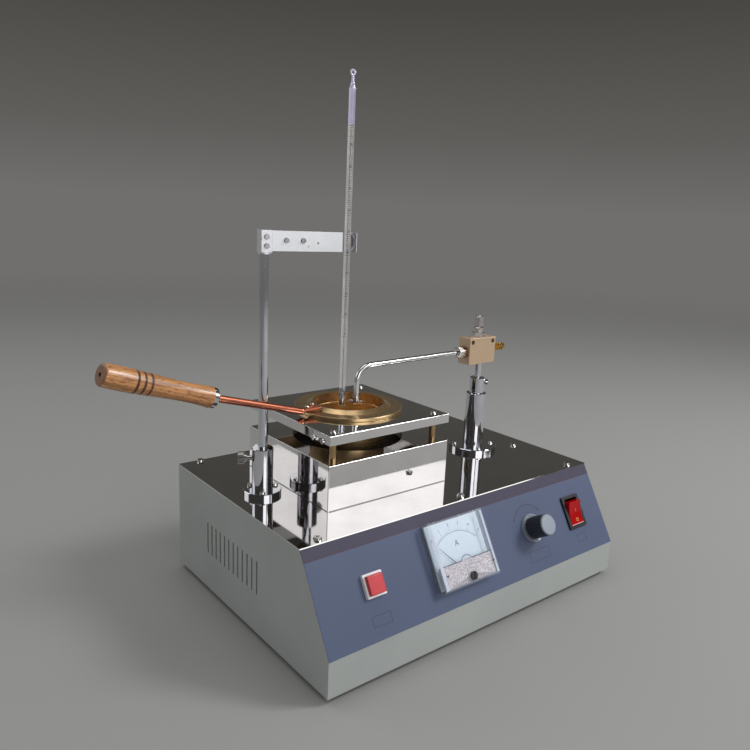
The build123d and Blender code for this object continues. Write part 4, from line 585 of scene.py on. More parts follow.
def facetted_polystyrene():
    # The meter's lower mask, moulded in polystyrene with a facetted texture behind the clear cover: a
    # glitter of pinkish greys and whites, 0.6 mm facets.
    material, add = open_material("facetted_polystyrene")
    facets = add("TexVoronoi", {
        "Vector": in_millimetres(add), "Scale": 1.7, "Randomness": 0.5}).outputs["Color"]
    pick = add("SeparateColor", [facets])
    return close_material(material, {
        "Base Color": add("ValToRGB", [pick], [
            (0.0, linear("#8d7f86")), (0.4, linear("#b5aab1")), (0.7, linear("#d0c7cd")),
            (0.95, linear("#eae6ec"))]),
        "Roughness": 0.35,
        "Normal": add("Bump", {"Height": pick.outputs[1], "Distance": 0.00006}),
    })


def opal_enamel(low, high, level):
    # Opal enamel drawn into a thermometer's stem: milky, whiter over the scale and cooler above it. It has
    # a faint painted glow: it emits a little light in its own colour, though it is no lamp.
    material, add = open_material("opal_enamel")
    height = add("SeparateXYZ", [in_millimetres(add)]).outputs["Z"]
    draw = add("TexNoise", {
        "Vector": in_millimetres(add, stretch=(1, 1, 0.06)), "Scale": 0.6, "Detail": 2.0})
    above = add("MapRange", [height, level - 1.0, level + 1.0, 0.0, 1.0])
    tone = add("Mix", {0: above, 6: low, 7: high}, data_type="RGBA")
    bright = add("MapRange", [draw, 0.3, 0.7, 0.88, 1.06])
    milky = add("VectorMath", {0: tone, "Scale": bright}, operation="SCALE")
    return close_material(material, {
        "Base Color": milky,
        "Roughness": 0.4,
        # Painted glow: the milky colour is also emitted, at a strength of 0.22
        "Emission Color": milky,
        "Emission Strength": 0.22,
    })


def fibreglass_board():
    # A control board: green solder mask over glass fibre, with an aluminium heat sink standing on it.
    material, add = open_material("fibreglass_board")
    place = in_millimetres(add)
    height = add("SeparateXYZ", [place]).outputs["Z"]
    sink = add("MapRange", [height, 9.7, 9.9, 0.0, 1.0])
    weave = add("TexNoise", {"Vector": place, "Scale": 0.6, "Detail": 2.0})
    mask = add("ValToRGB", [weave], [(0.3, linear("#14502c")), (0.7, linear("#1f6a3c"))])
    return close_material(material, {
        "Base Color": add("Mix", {0: sink, 6: mask, 7: linear("#b9bcbe")}, data_type="RGBA"),
        "Roughness": 0.4,
        "Metallic": sink,
    })


# ---------------------------------------------------------------------------------------- settings
def colour_choice(name, description, code):
    """A colour setting whose default is an sRGB hex colour."""
    return bpy.props.FloatVectorProperty(
        name=name, description=description, subtype="COLOR", size=3, min=0.0, max=1.0, default=linear(code)
    )


def number_choice(name, description, default, high=1000.0, low=0.0, **more):
    """A setting that is a number."""
    return bpy.props.FloatProperty(
        name=name, description=description, default=default, min=low, max=high, **more)


def count_choice(name, description, default, high):
    """A setting that is a whole number, at least 1."""
    return bpy.props.IntProperty(name=name, description=description, default=default, min=1, max=high)


class TesterFinishes(bpy.types.PropertyGroup):
    """The colours that an owner would change."""

    paint: colour_choice("Paint", "Powder coat on the housing", "#969a98")
    film: colour_choice("Panel film", "Overlay on the sloped panel", "#4b546c")
    strip: colour_choice("Panel strip", "Overlay above the rule", "#3f3c4d")
    steel: colour_choice("Mirror steel", "Stainless steel of the deck, furnace and plate", "#cccaca")
    # rim: painted light on the polished sheets' folds, picked by which way they face
    rim: colour_choice("Bright folds", "Worn folds of the polished sheets", "#bdbcba")
    chrome: colour_choice("Chrome", "Chromed posts and sleeves", "#c3c4ca")
    nickel: colour_choice("Nickel", "Plated nut, gland, nozzle and screws", "#cfc9c6")
    brass: colour_choice("Brass", "Bare brass of the cup", "#ceb084")
    tint: colour_choice("Heat tint", "Inside of the cup", "#dcbd90")
    copper: colour_choice("Copper", "Cup handle's rod", "#a9654f")
    wood: colour_choice("Wood", "Cup handle's grip", "#b27d4c")
    block: colour_choice("Valve block", "Anodised valve block", "#c0a88c")
    rule: colour_choice("Rule", "Thin line across the panel", "#3d2231")
    ink: colour_choice("Ink", "Panel printing", "#2b2e3c")
    dial: colour_choice("Dial", "Meter's scale plate", "#d2e0ec")
    button: colour_choice("Button", "Push button", "#b52c35")
    rocker: colour_choice("Rocker", "Mains switch", "#98060b")


class TesterPrinting(bpy.types.PropertyGroup):
    """The sizes of what is printed on the tester, in millimetres."""

    rule_width: number_choice("Rule width", "Width of the line across the panel, mm", 0.7, 5.0, 0.1)
    box_line: number_choice("Box line", "Line width of the bare label boxes, mm", 0.4, 2.0, 0.1)
    arc_line: number_choice("Arc line", "Line width of the regulator's arc, mm", 0.6, 2.0, 0.1)
    dial_line: number_choice("Dial line", "Line width of the meter's scale, mm", 0.28, 2.0, 0.1)
    dial_divisions: count_choice("Dial divisions", "Numbered divisions of the meter's scale", 5, 20)
    stem_divisions: count_choice("Stem divisions", "Numbered divisions of the thermometer's scale", 10, 40)


class TesterStudio(bpy.types.PropertyGroup):
    """The studio: floor, background, lamps and camera."""

    floor: colour_choice("Floor", "Pale floor", "#a2a2a0")
    far: colour_choice("Far floor", "Where the floor meets the background", "#848381")
    backdrop: colour_choice("Backdrop", "Top of the background", "#575550")
    front_power: number_choice("Front softbox", "Wide softbox at the front right", 9.0, unit="POWER")
    back_power: number_choice("Back softbox", "Wide softbox at the back left", 6.0, unit="POWER")
    key_power: number_choice("Key lamp", "Soft lamp at the front right", 23.0, unit="POWER")
    fill_power: number_choice("Fill lamp", "Soft lamp straight in front", 8.0, unit="POWER")
    top_power: number_choice("Top lamp", "Soft lamp overhead", 6.0, unit="POWER")
    seen: number_choice(
        "Background seen", "Share of the background's brightness that the camera sees", 0.7, 1.0)
    ambient: number_choice("Ambient", "Strength of the even light all round", 0.38, 2.0)
    camera_place: bpy.props.FloatVectorProperty(
        name="Camera place", description="Camera's place in the row frame", size=3, subtype="TRANSLATION",
        unit="LENGTH", default=tuple(at_home((-258.62, -353.15, 336.22))))
    camera_yaw: number_choice(
        "Camera yaw", "Turn from the back to the right", math.radians(39.247), math.pi,
        -math.pi, subtype="ANGLE")
    camera_pitch: number_choice(
        "Camera pitch", "How far the camera looks down", math.radians(12.889), math.pi / 2,
        -math.pi / 2, subtype="ANGLE")
    camera_roll: number_choice(
        "Camera roll", "Lean of the camera", math.radians(2.553), math.pi, -math.pi,
        subtype="ANGLE")
    camera_lens: number_choice("Camera lens", "Focal length", 34.185, 500.0, 1.0, subtype="DISTANCE_CAMERA")


# --------------------------------------------------------------------------------------- operators
class TESTER_OT_stage(bpy.types.Operator):
    """Sets up the floor, the background, the soft lamps, the even light and the camera"""

    bl_idname = "tester.stage"
    bl_label = "Studio"

    def execute(self, context):
        studio = context.scene.tester_studio
        self.lay_floor(studio)
        self.light_room(context, studio)
        self.hang_lamps(context, studio)
        self.place_camera(context, studio)
        context.scene.view_settings.view_transform = "Standard"
        return {"FINISHED"}

    def seen_share(self, add, studio):
        # The camera, also through glass, sees the background darker than the polished metal does
        rays = add("LightPath").outputs
        seen = add("Math", [rays["Is Camera Ray"], rays["Is Transmission Ray"]], operation="MAXIMUM")
        return add("MapRange", [seen, 0.0, 1.0, 1.0, studio.seen])

    def lay_floor(self, studio):
        # Matt painted board with a faint mottle, which fades into the background with distance
        material, add = open_material("matt_board")
        place = in_millimetres(add)
        mottle = add("TexNoise", {"Vector": place, "Scale": 0.004})
        pale = studio.floor
        tone = add("ValToRGB", [mottle], [(0.3, shade(pale, 0.985)), (0.7, pale)])
        share = self.seen_share(add, studio)
        tone = add("VectorMath", {0: tone, "Scale": share}, operation="SCALE")
        board = add("BsdfPrincipled", {"Base Color": tone, "Roughness": 0.9})
        haze = add("Emission", {"Color": studio.far, "Strength": share})
        distance = add("VectorMath", [place], operation="LENGTH").outputs["Value"]
        fade = add("MapRange", [distance, 700.0, 3600.0, 0.0, 1.0], interpolation_type="SMOOTHSTEP")
        shown = add("MixShader", [fade, board, haze])
        add("OutputMaterial", {"Surface": shown})
        rings = ((30000, 0), (3600, 0), (1200, 0), (400, 0), (0, 0))
        points, faces = turned((0, 0, 0), (0, 0, 1), rings, 64)
        mesh = bpy.data.meshes.new("studio_floor")
        mesh.from_pydata((points / 1000).tolist(), [], faces)
        mesh.materials.append(material)
        floor = bpy.data.objects.new("studio_floor", mesh)
        bpy.context.scene.collection.objects.link(floor)

    def light_room(self, context, studio):
        # What is seen straight, in a mirror or through glass darkens upwards from the floor's far colour;
        # everything else is lit evenly
        world = bpy.data.worlds.new("studio")
        context.scene.world = world
        world.use_nodes = True
        world.node_tree.nodes.clear()
        add = partial(add_node, world.node_tree)
        rays = add("LightPath").outputs
        seen = add("Math", [rays["Is Camera Ray"], rays["Is Glossy Ray"]], operation="MAXIMUM")
        seen = add("Math", [seen, rays["Is Transmission Ray"]], operation="MAXIMUM")
        height = add("SeparateXYZ", [add("TexCoord").outputs["Generated"]]).outputs["Z"]
        far, top = studio.far, studio.backdrop
        rise = add("MapRange", [height, 0.0, 0.5, 0.0, 1.0])
        tone = add("ValToRGB", [rise], [
            (0.02, far), (0.2, tuple(0.5 * f + 0.5 * t for f, t in zip(far, top))), (0.5, top),
            (1.0, shade(top, 0.75))])
        even = add("Background", {"Color": (1, 1, 1), "Strength": studio.ambient})
        shown = add("Background", {"Color": tone, "Strength": self.seen_share(add, studio)})
        add("OutputWorld", {"Surface": add("MixShader", [seen, even, shown])})

    def hang_lamps(self, context, studio):
        lamps = (
            ("front_softbox", (1.07, -1.31, 1.12), (1.4, 0.9), studio.front_power),
            ("back_softbox", (-1.09, 1.345, 1.1), (1.4, 0.9), studio.back_power),
            ("key_lamp", (1.25, -1.0, 1.5), (0.5, 0.5), studio.key_power),
            ("fill_lamp", (-0.2, -1.75, 0.7), (1.0, 1.0), studio.fill_power),
            ("top_lamp", (-0.1, 0.3, 1.7), (1.1, 1.1), studio.top_power),
        )
        for name, place, size, power in lamps:
            lamp = bpy.data.lights.new(name, "AREA")
            lamp.shape, lamp.size, lamp.size_y, lamp.energy = "RECTANGLE", *size, power
            holder = bpy.data.objects.new(name, lamp)
            holder.location = place
            holder.rotation_mode = "QUATERNION"
            holder.rotation_quaternion = (Vector((0, 0, 0.12)) - Vector(place)).to_track_quat("-Z", "Y")
            holder.visible_camera = False
            context.scene.collection.objects.link(holder)

    def place_camera(self, context, studio):
        yaw, pitch, roll = studio.camera_yaw, studio.camera_pitch, studio.camera_roll
        ahead = Vector((
            math.sin(yaw) * math.cos(pitch), math.cos(yaw) * math.cos(pitch), -math.sin(pitch)))
        level = Vector((math.cos(yaw), -math.sin(yaw), 0))
        over = level.cross(ahead)
        right = math.cos(roll) * level + math.sin(roll) * over
        upward = -math.sin(roll) * level + math.cos(roll) * over
        camera = bpy.data.cameras.new("camera")
        camera.sensor_width, camera.lens, camera.clip_start = 36.0, studio.camera_lens, 0.01
        holder = bpy.data.objects.new("camera", camera)
        turn = Matrix((right, upward, -ahead)).transposed()
        holder.matrix_world = Matrix.Translation(Vector(studio.camera_place)) @ turn.to_4x4()
        context.scene.collection.objects.link(holder)
        context.scene.camera = holder


class TESTER_OT_housing(bpy.types.Operator):
    """Paints the housing, polishes the deck and finishes the feet, the inlet and what is inside"""

    bl_idname = "tester.housing"
    bl_label = "Housing"

    def execute(self, context):
        looks = context.scene.tester_finishes
        dress(powder_coated_steel(looks.paint), "housing_shell")
        dress(mirror_stainless("deck_stainless", looks.steel, looks.rim), "top_panel")
        dress(printed_film(looks.film, looks.strip), "front_overlay")
        dress(galvanised_steel(), "bottom_plate")
        # Pressed rubber feet: dull, with a chalky bloom
        dress(moulded_plastic("pressed_rubber", linear("#1d1d1c"), 0.75, 0.6, 0.08),
              *[f"rubber_foot_{number}" for number in (1, 2, 3, 4)])
        # Nylon appliance inlet: black, with a fine spark-eroded grain
        dress(moulded_plastic("black_nylon", linear("#161616"), 0.45), "power_inlet")
        dress(fibreglass_board(), "control_board")
        # Pan head screws, turned and nickel plated: small, bright and a little scratched
        screws = worked_metal("nickel_plated_screws", linear("#d9d6d2"), 0.2, scale=0.8, depth=0.01)
        dress(screws, "panel_screws", "furnace_screws", "plate_screws", "flange_screws")
        return {"FINISHED"}


class TESTER_OT_panel_printing(bpy.types.Operator):
    """Prints the rule, the bare label boxes and the regulator's arc on the sloped panel"""

    bl_idname = "tester.panel_printing"
    bl_label = "Panel printing"

    def execute(self, context):
        looks, sizes = context.scene.tester_finishes, context.scene.tester_printing
        red = printing_ink("dark_red_ink", looks.rule)
        black = printing_ink("black_ink", looks.ink)
        rule = panel_line((1.2, 170.0, 338.8), RULE_HEIGHT, FILM_LEVEL, sizes.rule_width)
        make_piece("panel_rule", rule, "base", red)
        boxes = ((44.0, 62.0, 10.0, 18.0), (224.5, 251.0, 9.5, 19.0), (293.5, 306.5, 11.0, 18.0))
        for number, (left, right, low, high) in enumerate(boxes, 1):
            box = panel_box(left, right, low, high, FILM_LEVEL, sizes.box_line)
            make_piece(f"label_box_{number}", box, "base", black)
        radius, angles = 21.4, (40, 150)
        arc = panel_arc(KNOB_PLACE, radius, *angles, FILM_LEVEL, sizes.arc_line)
        ends = [panel_dot(*polar(KNOB_PLACE, radius, angle), FILM_LEVEL, 1.0) for angle in angles]
        make_piece("regulator_arc", joined([arc, *ends]), "base", black)
        return {"FINISHED"}


class TESTER_OT_furnace(bpy.types.Operator):
    """Polishes the furnace and the support plate, and finishes the heater inside"""

    bl_idname = "tester.furnace"
    bl_label = "Furnace"

    def execute(self, context):
        looks = context.scene.tester_finishes
        sheet = mirror_stainless("furnace_stainless", looks.steel, looks.rim)
        dress(sheet, "furnace_box", "support_plate")
        # Thin dark lines at the furnace's foot and up its front left corner: painted shade of the gaps
        # where its sheets meet the deck and each other
        joint_shade = printing_ink("joint_shadow", linear("#4a3630"))
        left, right, front, back = FURNACE_SIDES
        foot = DECK + 0.4
        joints = joined([
            ink_line(((left + 0.6, front, foot), (right - 0.6, front, foot)), (0, -1, 0), 0.5),
            ink_line(((left, back - 0.6, foot), (left, front + 0.6, foot)), (-1, 0, 0), 0.5),
            ink_line(((left, front + 1.1, foot + 0.4), (left, front + 1.1, 136.8)), (-1, 0, 0), 0.45),
        ])
        make_piece("furnace_joints", joints, "base", joint_shade)
        # Pressed ceramic fibre: chalk white and porous
        dress(grained("ceramic_fibre", linear("#cfc8ba"), 1 / 1.5, (0.75, 1.1), (0.9, 0.9), 0.2, 4.0),
              "insulation_block")
        # Sheathed heating element: steel burnt blue-black
        dress(worked_metal("burnt_steel", linear("#4a4038"), 0.5, scale=0.4, depth=0.03), "heater_coil")
        # Cast iron hot plate, blackened: dark and dry
        dress(grained("cast_iron", linear("#2c2725"), 1 / 0.9, (0.75, 1.1), (0.9, 0.9), 0.2, 4.0),
              "hot_plate")
        # Brass pillars, turned from rod: rings 1 mm apart
        pillars = worked_metal(
            "turned_brass_rod", linear("#a48a64"), 0.22, stretch=(0.1, 0.1, 1), scale=1.0, depth=0.01)
        dress(pillars, *[f"plate_pillar_{number}" for number in (1, 2, 3, 4)])
        return {"FINISHED"}


HANDLE_AZIMUTH = 185.0


def handle_line(rise):
    """The handle's direction at a rise in degrees."""
    turn, tilt = math.radians(HANDLE_AZIMUTH), math.radians(rise)
    return np.array((math.cos(turn) * math.cos(tilt), math.sin(turn) * math.cos(tilt), math.sin(tilt)))


# The grip starts at the end of the copper rod, which runs level, then bends up to the ferrule
ROD_HEIGHT = 167.4
GRIP_RISE = 18.6
GRIP_FOOT = (
    np.array((*CUP_PLACE, ROD_HEIGHT)) + 54.0 * handle_line(0.0) + 86.4 * handle_line(16.1)
    + 2.0 * handle_line(GRIP_RISE)
)


class TESTER_OT_cup(bpy.types.Operator):
    """Finishes the brass cup and its copper and beech handle"""

    bl_idname = "tester.cup"
    bl_label = "Cup"

    def execute(self, context):
        looks = context.scene.tester_finishes
        dress(heat_tinted_brass(looks.brass, looks.tint), "test_cup")
        dress(drawn_copper(looks.copper), "cup_handle_rod")
        # Steel rivets, hammered over and tinned
        dress(worked_metal("tinned_rivets", linear("#cfc8c2"), 0.28, scale=1.2, depth=0.03), "cup_rivets")
        # Ferrule, spun from nickel plated steel: rings along its length
        dress(worked_metal("spun_ferrule", linear("#b9b7b8"), 0.14, scale=0.8, depth=0.01),
              "handle_ferrule")
        wood = lacquered_beech(
            looks.wood, linear("#64381b"), GRIP_FOOT, math.radians(HANDLE_AZIMUTH),
            math.radians(GRIP_RISE), length=92.5, grooves=(57.0, 62.5, 68.0))
        dress(wood, "wooden_handle")
        return {"FINISHED"}


class TESTER_OT_post(bpy.types.Operator):
    """Finishes the thermometer's post, its thumbscrew and its arm"""

    bl_idname = "tester.post"
    bl_label = "Thermometer post"

    def execute(self, context):
        chrome = context.scene.tester_finishes.chrome
        # Steel, turned, polished and chromed: nearly a mirror, the lathe's rings faint under the chrome
        dress(worked_metal("chromed_post", chrome, 0.07, stretch=(0.05, 0.05, 1.0), scale=0.8,
                           depth=0.006, spread=0.03), "post_rod")
        dress(worked_metal("chromed_sleeve", chrome, 0.07, (*POST_PLACE, 0), (0.1, 0.1, 1.0), 0.6, 0.008,
                           spread=0.03), "post_base")
        # Knurled thumbscrew, nickel plated
        dress(worked_metal("nickel_thumbscrew", linear("#a8a6a6"), 0.2, scale=0.8, depth=0.01),
              "post_thumbscrew")
        # Aluminium sheet and bar, rolled and linished along the arm: bright satin, lines 1 mm apart
        linished = worked_metal("linished_aluminium", linear("#dcdde1"), 0.45, stretch=(0.03, 0.03, 1.0),
                                scale=0.9, depth=0.003, spread=0.06, wear=0.03)
        dress(linished, "arm_clamp", "thermometer_arm")
        # Spring clip, bent from hardened steel strip and polished: darker than the arm behind it, partly
        # because spring steel is darker and partly as painted shade for the dark crescent inside the clip
        dress(worked_metal("spring_steel", linear("#c2c1c6"), 0.4, stretch=(1.0, 1.0, 0.05), scale=0.8,
                           depth=0.006), "thermometer_clip")
        # Slotted screws, zinc plated and dulled by handling
        dress(worked_metal("dull_zinc_screws", linear("#a9a8aa"), 0.22, scale=0.8, depth=0.02),
              "arm_screws")
        return {"FINISHED"}


class TESTER_OT_thermometer(bpy.types.Operator):
    """Finishes the thermometer and prints its scale round the stem"""

    bl_idname = "tester.thermometer"
    bl_label = "Thermometer"

    def execute(self, context):
        sizes = context.scene.tester_printing
        dress(borosilicate_glass(), "thermometer_glass")
        # Mercury: a liquid mirror, only slightly dulled by the glass bore
        dress(worked_metal("mercury", linear("#c9ccd0"), 0.06, scale=0.5, depth=0.002, spread=0.02),
              "thermometer_mercury")
        # Opal enamel strip, drawn into the back of the stem: milky, so that the column shows against it
        ring = np.stack(polar((0, 0), 1.0, np.linspace(-25, 115, 15)), -1)
        band = np.concatenate([2.35 * ring, 1.9 * ring[::-1]])
        neck_foot = 431.0
        place = np.array((*THERMOMETER_PLACE, 0.0))
        path = place + np.linspace(185.0, neck_foot, 30)[:, None] * (0, 0, 1)
        low, high = 231.0, 403.0
        enamel = opal_enamel(linear("#dedbd6"), linear("#dcd6ea"), high + 1.0)
        make_piece("stem_enamel", carried(path, (1.0, 0.0, 0.0), band), "thermometer", enamel, 40)
        # Above the strip the enamel tapers up the neck, and a ring of it, 1.1 mm thick, lies in the eye
        x, z = polar((THERMOMETER_PLACE[0], EYE_HEIGHT), EYE_RADIUS, np.linspace(0, 360, 41))
        eye = np.stack([x, np.full(41, THERMOMETER_PLACE[1]), z], -1)
        wire = np.stack(polar((0, 0), 0.55, np.arange(0, 360, 36)), -1)
        neck = ((0, 0), (2.35, 0), (1.02, 5.4), (0.8, 10.0), (0, 10.4))
        tip = turned((*THERMOMETER_PLACE, neck_foot), (0.0, 0.0, 1.0), neck, 24)
        make_piece("stem_eye", joined([carried(eye, (0.0, 1.0, 0.0), wire), tip]), "thermometer", enamel,
                   60)
        # Scale: ink fired into the stem, on the side that faces the operator
        ink = printing_ink("stem_ink", linear("#34383f"))
        divisions, face = sizes.stem_divisions, math.radians(-118)
        steps = divisions * 10
        lines = []
        for step in range(steps + 1):
            height = low + (high - low) * step / steps
            half = 40 if step % 10 == 0 else (32 if step % 5 == 0 else 24)
            t = face + np.radians(np.linspace(-half, half, 7))
            out = np.stack([np.cos(t), np.sin(t), np.zeros(7)], -1)
            ring = place + STEM_RADIUS * out + (0.0, 0.0, height)
            lines.append(carried(ring, out, ((0.0, -0.2), (0.05, -0.2), (0.05, 0.2), (0.0, 0.2))))
        make_piece("stem_scale", joined(lines), "thermometer", ink)
        out = np.array((math.cos(face), math.sin(face), 0.0))
        across = np.array((-math.sin(face), math.cos(face), 0.0))
        numbers = [
            printed_text(str(10 * number), 2.6,
                         place + (STEM_RADIUS + 0.08) * out
                         + (0.0, 0.0, low + (high - low) * number / divisions + 2.4),
                         across, (0, 0, 1))
            for number in range(divisions)
        ]
        make_piece("stem_numbers", joined(numbers), "thermometer", ink)
        return {"FINISHED"}


class TESTER_OT_applicator(bpy.types.Operator):
    """Finishes the flame column, the valve block, the gas tube and the nozzle"""

    bl_idname = "tester.applicator"
    bl_label = "Flame applicator"

    def execute(self, context):
        looks = context.scene.tester_finishes
        # Steel, turned, polished and chromed
        column = worked_metal("chromed_column", looks.chrome, 0.06, (*COLUMN_PLACE, 0), (0.1, 0.1, 1.0),
                              0.6, 0.008, spread=0.03)
        dress(column, "column_base", "column_bush", "applicator_stem", "column_set_screw")
        # Aluminium bar, milled, bead blasted and anodised champagne: an even satin with a fine sparkle.
        # The 0.1 mm bead marks are drawn at 0.8 mm.
        dress(grained("anodised_aluminium", looks.block, 1.3, (0.9, 1.08), (0.4, 0.54), 0.015,
                      metallic=0.6), "valve_block")
        # Nickel plated brass fittings: warm grey, with turned rings
        dress(worked_metal("nickel_plated_brass", looks.nickel, 0.22, stretch=(0.1, 0.1, 1.0), scale=0.9,
                           depth=0.012), "valve_gland", "tube_nut", "needle_knob", "gas_nozzle")
        # Stainless capillary tube, drawn and polished: lines run along it
        dress(worked_metal("drawn_tube", linear("#d2d2d3"), 0.18, stretch=(0.05, 1.0, 1.0), scale=0.8,
                           depth=0.006), "gas_tube")
        # Hose barb, turned from bare brass
        dress(worked_metal("turned_barb", linear("#c79f4c"), 0.26, stretch=(1.0, 0.1, 0.1), scale=1.0,
                           depth=0.01), "hose_barb")
        # Sealing rings between the block and the nut, turned from copper and darkened by the gas
        rings = ((0, 0), (6.0, 0), (6.0, 0.9), (5.2, 1.1), (5.2, 1.3), (6.0, 1.5), (6.0, 2.2), (5.0, 2.4),
                 (5.0, 2.6), (5.6, 2.8), (5.6, 3.4), (0, 3.4))
        copper = worked_metal("darkened_copper", linear("#c09a86"), 0.24, scale=0.8, depth=0.02)
        make_piece("union_rings", turned(UNION_PLACE, (-1.0, 0.0, 0.0), rings, 40), "applicator", copper,
                   smooth_under=30)
        return {"FINISHED"}


class TESTER_OT_meter(bpy.types.Operator):
    """Finishes the panel meter, prints its scale and adds its cover's ribbed edges"""

    bl_idname = "tester.meter"
    bl_label = "Meter"

    def execute(self, context):
        looks, sizes = context.scene.tester_finishes, context.scene.tester_printing
        # ABS case and its screw: black, lightly grained
        dress(moulded_plastic("black_abs", linear("#1b1b1d"), 0.4), "meter_case", "meter_zero_screw")
        # Scale plate of aluminium, enamelled blue-white, with a slight grain
        dress(grained("enamelled_aluminium", looks.dial, 0.25, (0.96, 1.03), (0.5, 0.5), 0.01),
              "meter_dial")
        dress(moulded_acrylic(), "meter_cover")
        dress(facetted_polystyrene(), "meter_mask")
        # Needle, stamped from aluminium and painted black
        dress(moulded_plastic("painted_needle", linear("#15161a"), 0.5), "meter_needle")
        ink = printing_ink("dial_ink", linear("#3a4150"))
        self.print_dial(sizes, ink)
        self.finish_cover(ink)
        return {"FINISHED"}

    def print_dial(self, sizes, ink):
        radius, level, first, last = 32.7, DIAL_LEVEL, 45.0, 129.0
        lines = [panel_arc(NEEDLE_PLACE, radius, first, last, level, sizes.dial_line)]
        steps = sizes.dial_divisions * 4
        for step in range(steps + 1):
            angle = last + (first - last) * step / steps
            length = 3.4 if step % 4 == 0 else (2.4 if step % 2 == 0 else 1.6)
            lines.append(panel_tick(NEEDLE_PLACE, radius, length, angle, level, sizes.dial_line))
        make_piece("dial_scale", joined(lines), "base", ink)
        words = []
        for number in range(sizes.dial_divisions + 1):
            angle = last + (first - last) * number / sizes.dial_divisions
            place = polar(NEEDLE_PLACE, 39.0, angle)
            words.append(panel_text(str(number), 4.0, *place, level, angle - 90))
        words.append(panel_text("A", 7.0, 142.4, 48.3, level))
        make_piece("dial_numbers", joined(words), "base", ink)

    def finish_cover(self, ink):
        # A dark line between scale and mask, humped over the needle's hub: top + 3.4 * hump(x), where
        # hump(x) = sqrt(1 - ((x - hub) / 5.5) ** 2)
        first, last = METER_SIDES
        x = np.linspace(first + 0.2, last - 0.2, 80)
        hump = np.sqrt(np.clip(1 - ((x - NEEDLE_PLACE[0]) / 5.5) ** 2, 0, 1))
        edge = panel_line(x, MASK_TOP + 3.4 * hump, METER_FRONT, 0.55)
        make_piece("mask_edge", edge, "base", ink)
        pins = ((118.0, 26.7), (171.0, 26.1))
        dots = joined([panel_dot(*pin, METER_FRONT, 0.9, 0.15) for pin in pins])
        make_piece("cover_pins", dots, "base", ink)
        # Ribbed edges of the cover, moulded thick and frosted: low ribs 1.1 mm apart
        frosted = moulded_plastic("frosted_acrylic", linear("#b2b9c8"), 0.35)
        strips = []
        for left, right in ((first, first + 3.3), (last - 2.3, last)):
            ribs, half = round((right - left) / 1.1), (right - left) / 2
            x = np.linspace(half, -half, 6 * ribs + 1)
            height = 0.04 + 0.14 * np.abs(np.sin(np.linspace(0, ribs * math.pi, 6 * ribs + 1)))
            profile = np.concatenate([((-half, 0.0), (half, 0.0)), np.stack([x, height], -1)])
            path = on_panel((left + right) / 2, np.array((16.0, 42.0, 68.6)), METER_FRONT)
            strips.append(carried(path, (-1.0, 0.0, 0.0), profile))
        make_piece("cover_ribs", joined(strips), "base", frosted, 40)


def on_rocker(across, along, out):
    """Places on the rocker's hollow face: across * x + along * s + (arc(along) + out) * n, s and n leaning.

    arc(along) = 44.1 - sqrt(38.6 ** 2 - along ** 2), the face's height over the pivot.
    """
    rise = 44.1 - np.sqrt(38.6 ** 2 - np.asarray(along, float) ** 2) + out
    s = np.array((0.0, math.cos(ROCKER_SLOPE), math.sin(ROCKER_SLOPE)))
    n = np.array((0.0, -math.sin(ROCKER_SLOPE), math.cos(ROCKER_SLOPE)))
    across, along, rise = np.broadcast_arrays(across, along, rise)
    return ROCKER_PIVOT + across[..., None] * (1.0, 0.0, 0.0) + along[..., None] * s + rise[..., None] * n


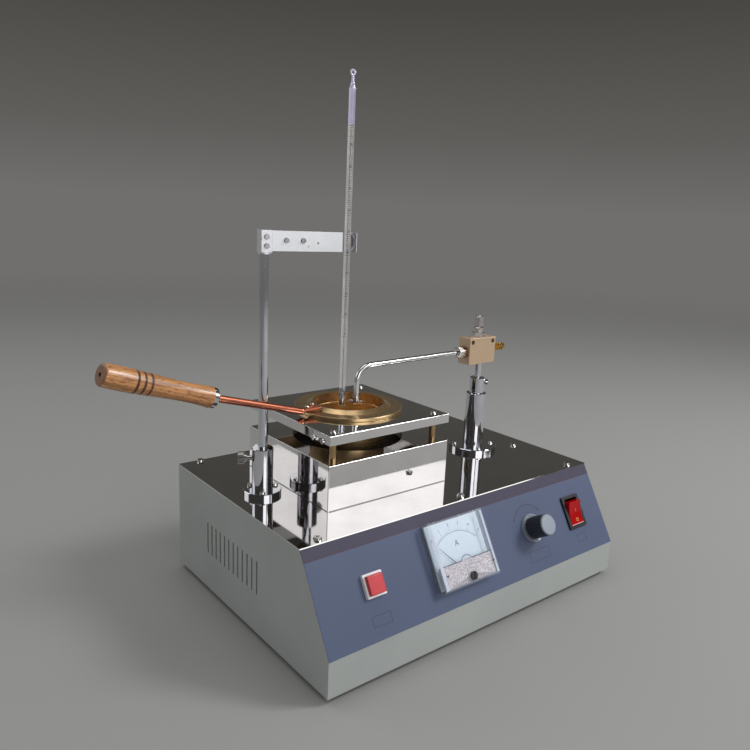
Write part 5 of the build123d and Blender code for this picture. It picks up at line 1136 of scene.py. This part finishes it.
class TESTER_OT_controls(bpy.types.Operator):
    """Finishes the push button, the regulator's knob and the mains rocker"""

    bl_idname = "tester.controls"
    bl_label = "Controls"

    def execute(self, context):
        looks = context.scene.tester_finishes
        # Polycarbonate button: satin red
        dress(moulded_plastic("red_polycarbonate", looks.button, 0.4), "button_cap")
        # ABS bezel: off-white, satin
        dress(moulded_plastic("white_abs", linear("#d4d3d5"), 0.42), "button_bezel")
        knob = capped_phenolic(linear("#2c2d35"), linear("#969eaa"), linear("#757a84"))
        dress(knob, "regulator_knob")
        # Phenolic body of the potentiometer: near black, semi-gloss
        dress(moulded_plastic("black_phenolic", linear("#212124"), 0.36), "regulator_pot")
        # Nylon frame of the rocker: black
        dress(moulded_plastic("black_polyamide", linear("#06060b"), 0.5), "rocker_frame")
        # The pale pink is the painted highlight along the rocker's lower lip
        dress(glossy_polycarbonate(looks.rocker, linear("#e6bcc0")), "rocker_cap")
        white = printing_ink("white_ink", linear("#d6d4d8"))
        tick = panel_tick(KNOB_PLACE, 10.6, 1.7, -76, KNOB_SKIRT, 1.1)
        make_piece("knob_tick", tick, "heat_knob", white, smooth_under=30)
        normal = np.array((0.0, -math.sin(ROCKER_SLOPE), math.cos(ROCKER_SLOPE)))
        pink = printing_ink("pink_ink", linear("#d0787c"))
        on = ink_line(on_rocker(0.9, np.linspace(0.6, 3.6, 6), 0.0), normal, 0.45)
        make_piece("on_mark", on, "rocker", pink)
        # The ring's two filled ends meet at its right side
        ring = on_rocker(*polar((0.9, -6.9), 1.3, np.linspace(0, 360, 33)), 0.0)
        cream = printing_ink("cream_ink", linear("#c79c54"))
        make_piece("off_mark", ink_line(ring, normal, 0.5), "rocker", cream)
        return {"FINISHED"}


class TESTER_PT_panel(bpy.types.Panel):
    """Everything that makes up the tester's looks"""

    bl_idname = "TESTER_PT_panel"
    bl_label = "Flash Point Tester"
    bl_space_type = "VIEW_3D"
    bl_region_type = "UI"
    bl_category = "Flash Point Tester"

    def draw(self, context):
        for operator in STEPS:
            self.layout.operator(operator.bl_idname)
        scene = context.scene
        for group in (scene.tester_finishes, scene.tester_printing, scene.tester_studio):
            box = self.layout.box()
            for name in group.__annotations__:
                box.prop(group, name)


STEPS = (
    TESTER_OT_stage,
    TESTER_OT_housing,
    TESTER_OT_panel_printing,
    TESTER_OT_furnace,
    TESTER_OT_cup,
    TESTER_OT_post,
    TESTER_OT_thermometer,
    TESTER_OT_applicator,
    TESTER_OT_meter,
    TESTER_OT_controls,
)
CLASSES = (TesterFinishes, TesterPrinting, TesterStudio, *STEPS, TESTER_PT_panel)


def register():
    for cls in CLASSES:
        bpy.utils.register_class(cls)
    bpy.types.Scene.tester_finishes = bpy.props.PointerProperty(type=TesterFinishes)
    bpy.types.Scene.tester_printing = bpy.props.PointerProperty(type=TesterPrinting)
    bpy.types.Scene.tester_studio = bpy.props.PointerProperty(type=TesterStudio)


def unregister():
    del bpy.types.Scene.tester_studio
    del bpy.types.Scene.tester_printing
    del bpy.types.Scene.tester_finishes
    for cls in reversed(CLASSES):
        bpy.utils.unregister_class(cls)


def main():
    register()
    for operator in STEPS:
        getattr(bpy.ops.tester, operator.bl_idname.split(".")[1])()


if __name__ == "__main__":
    main()
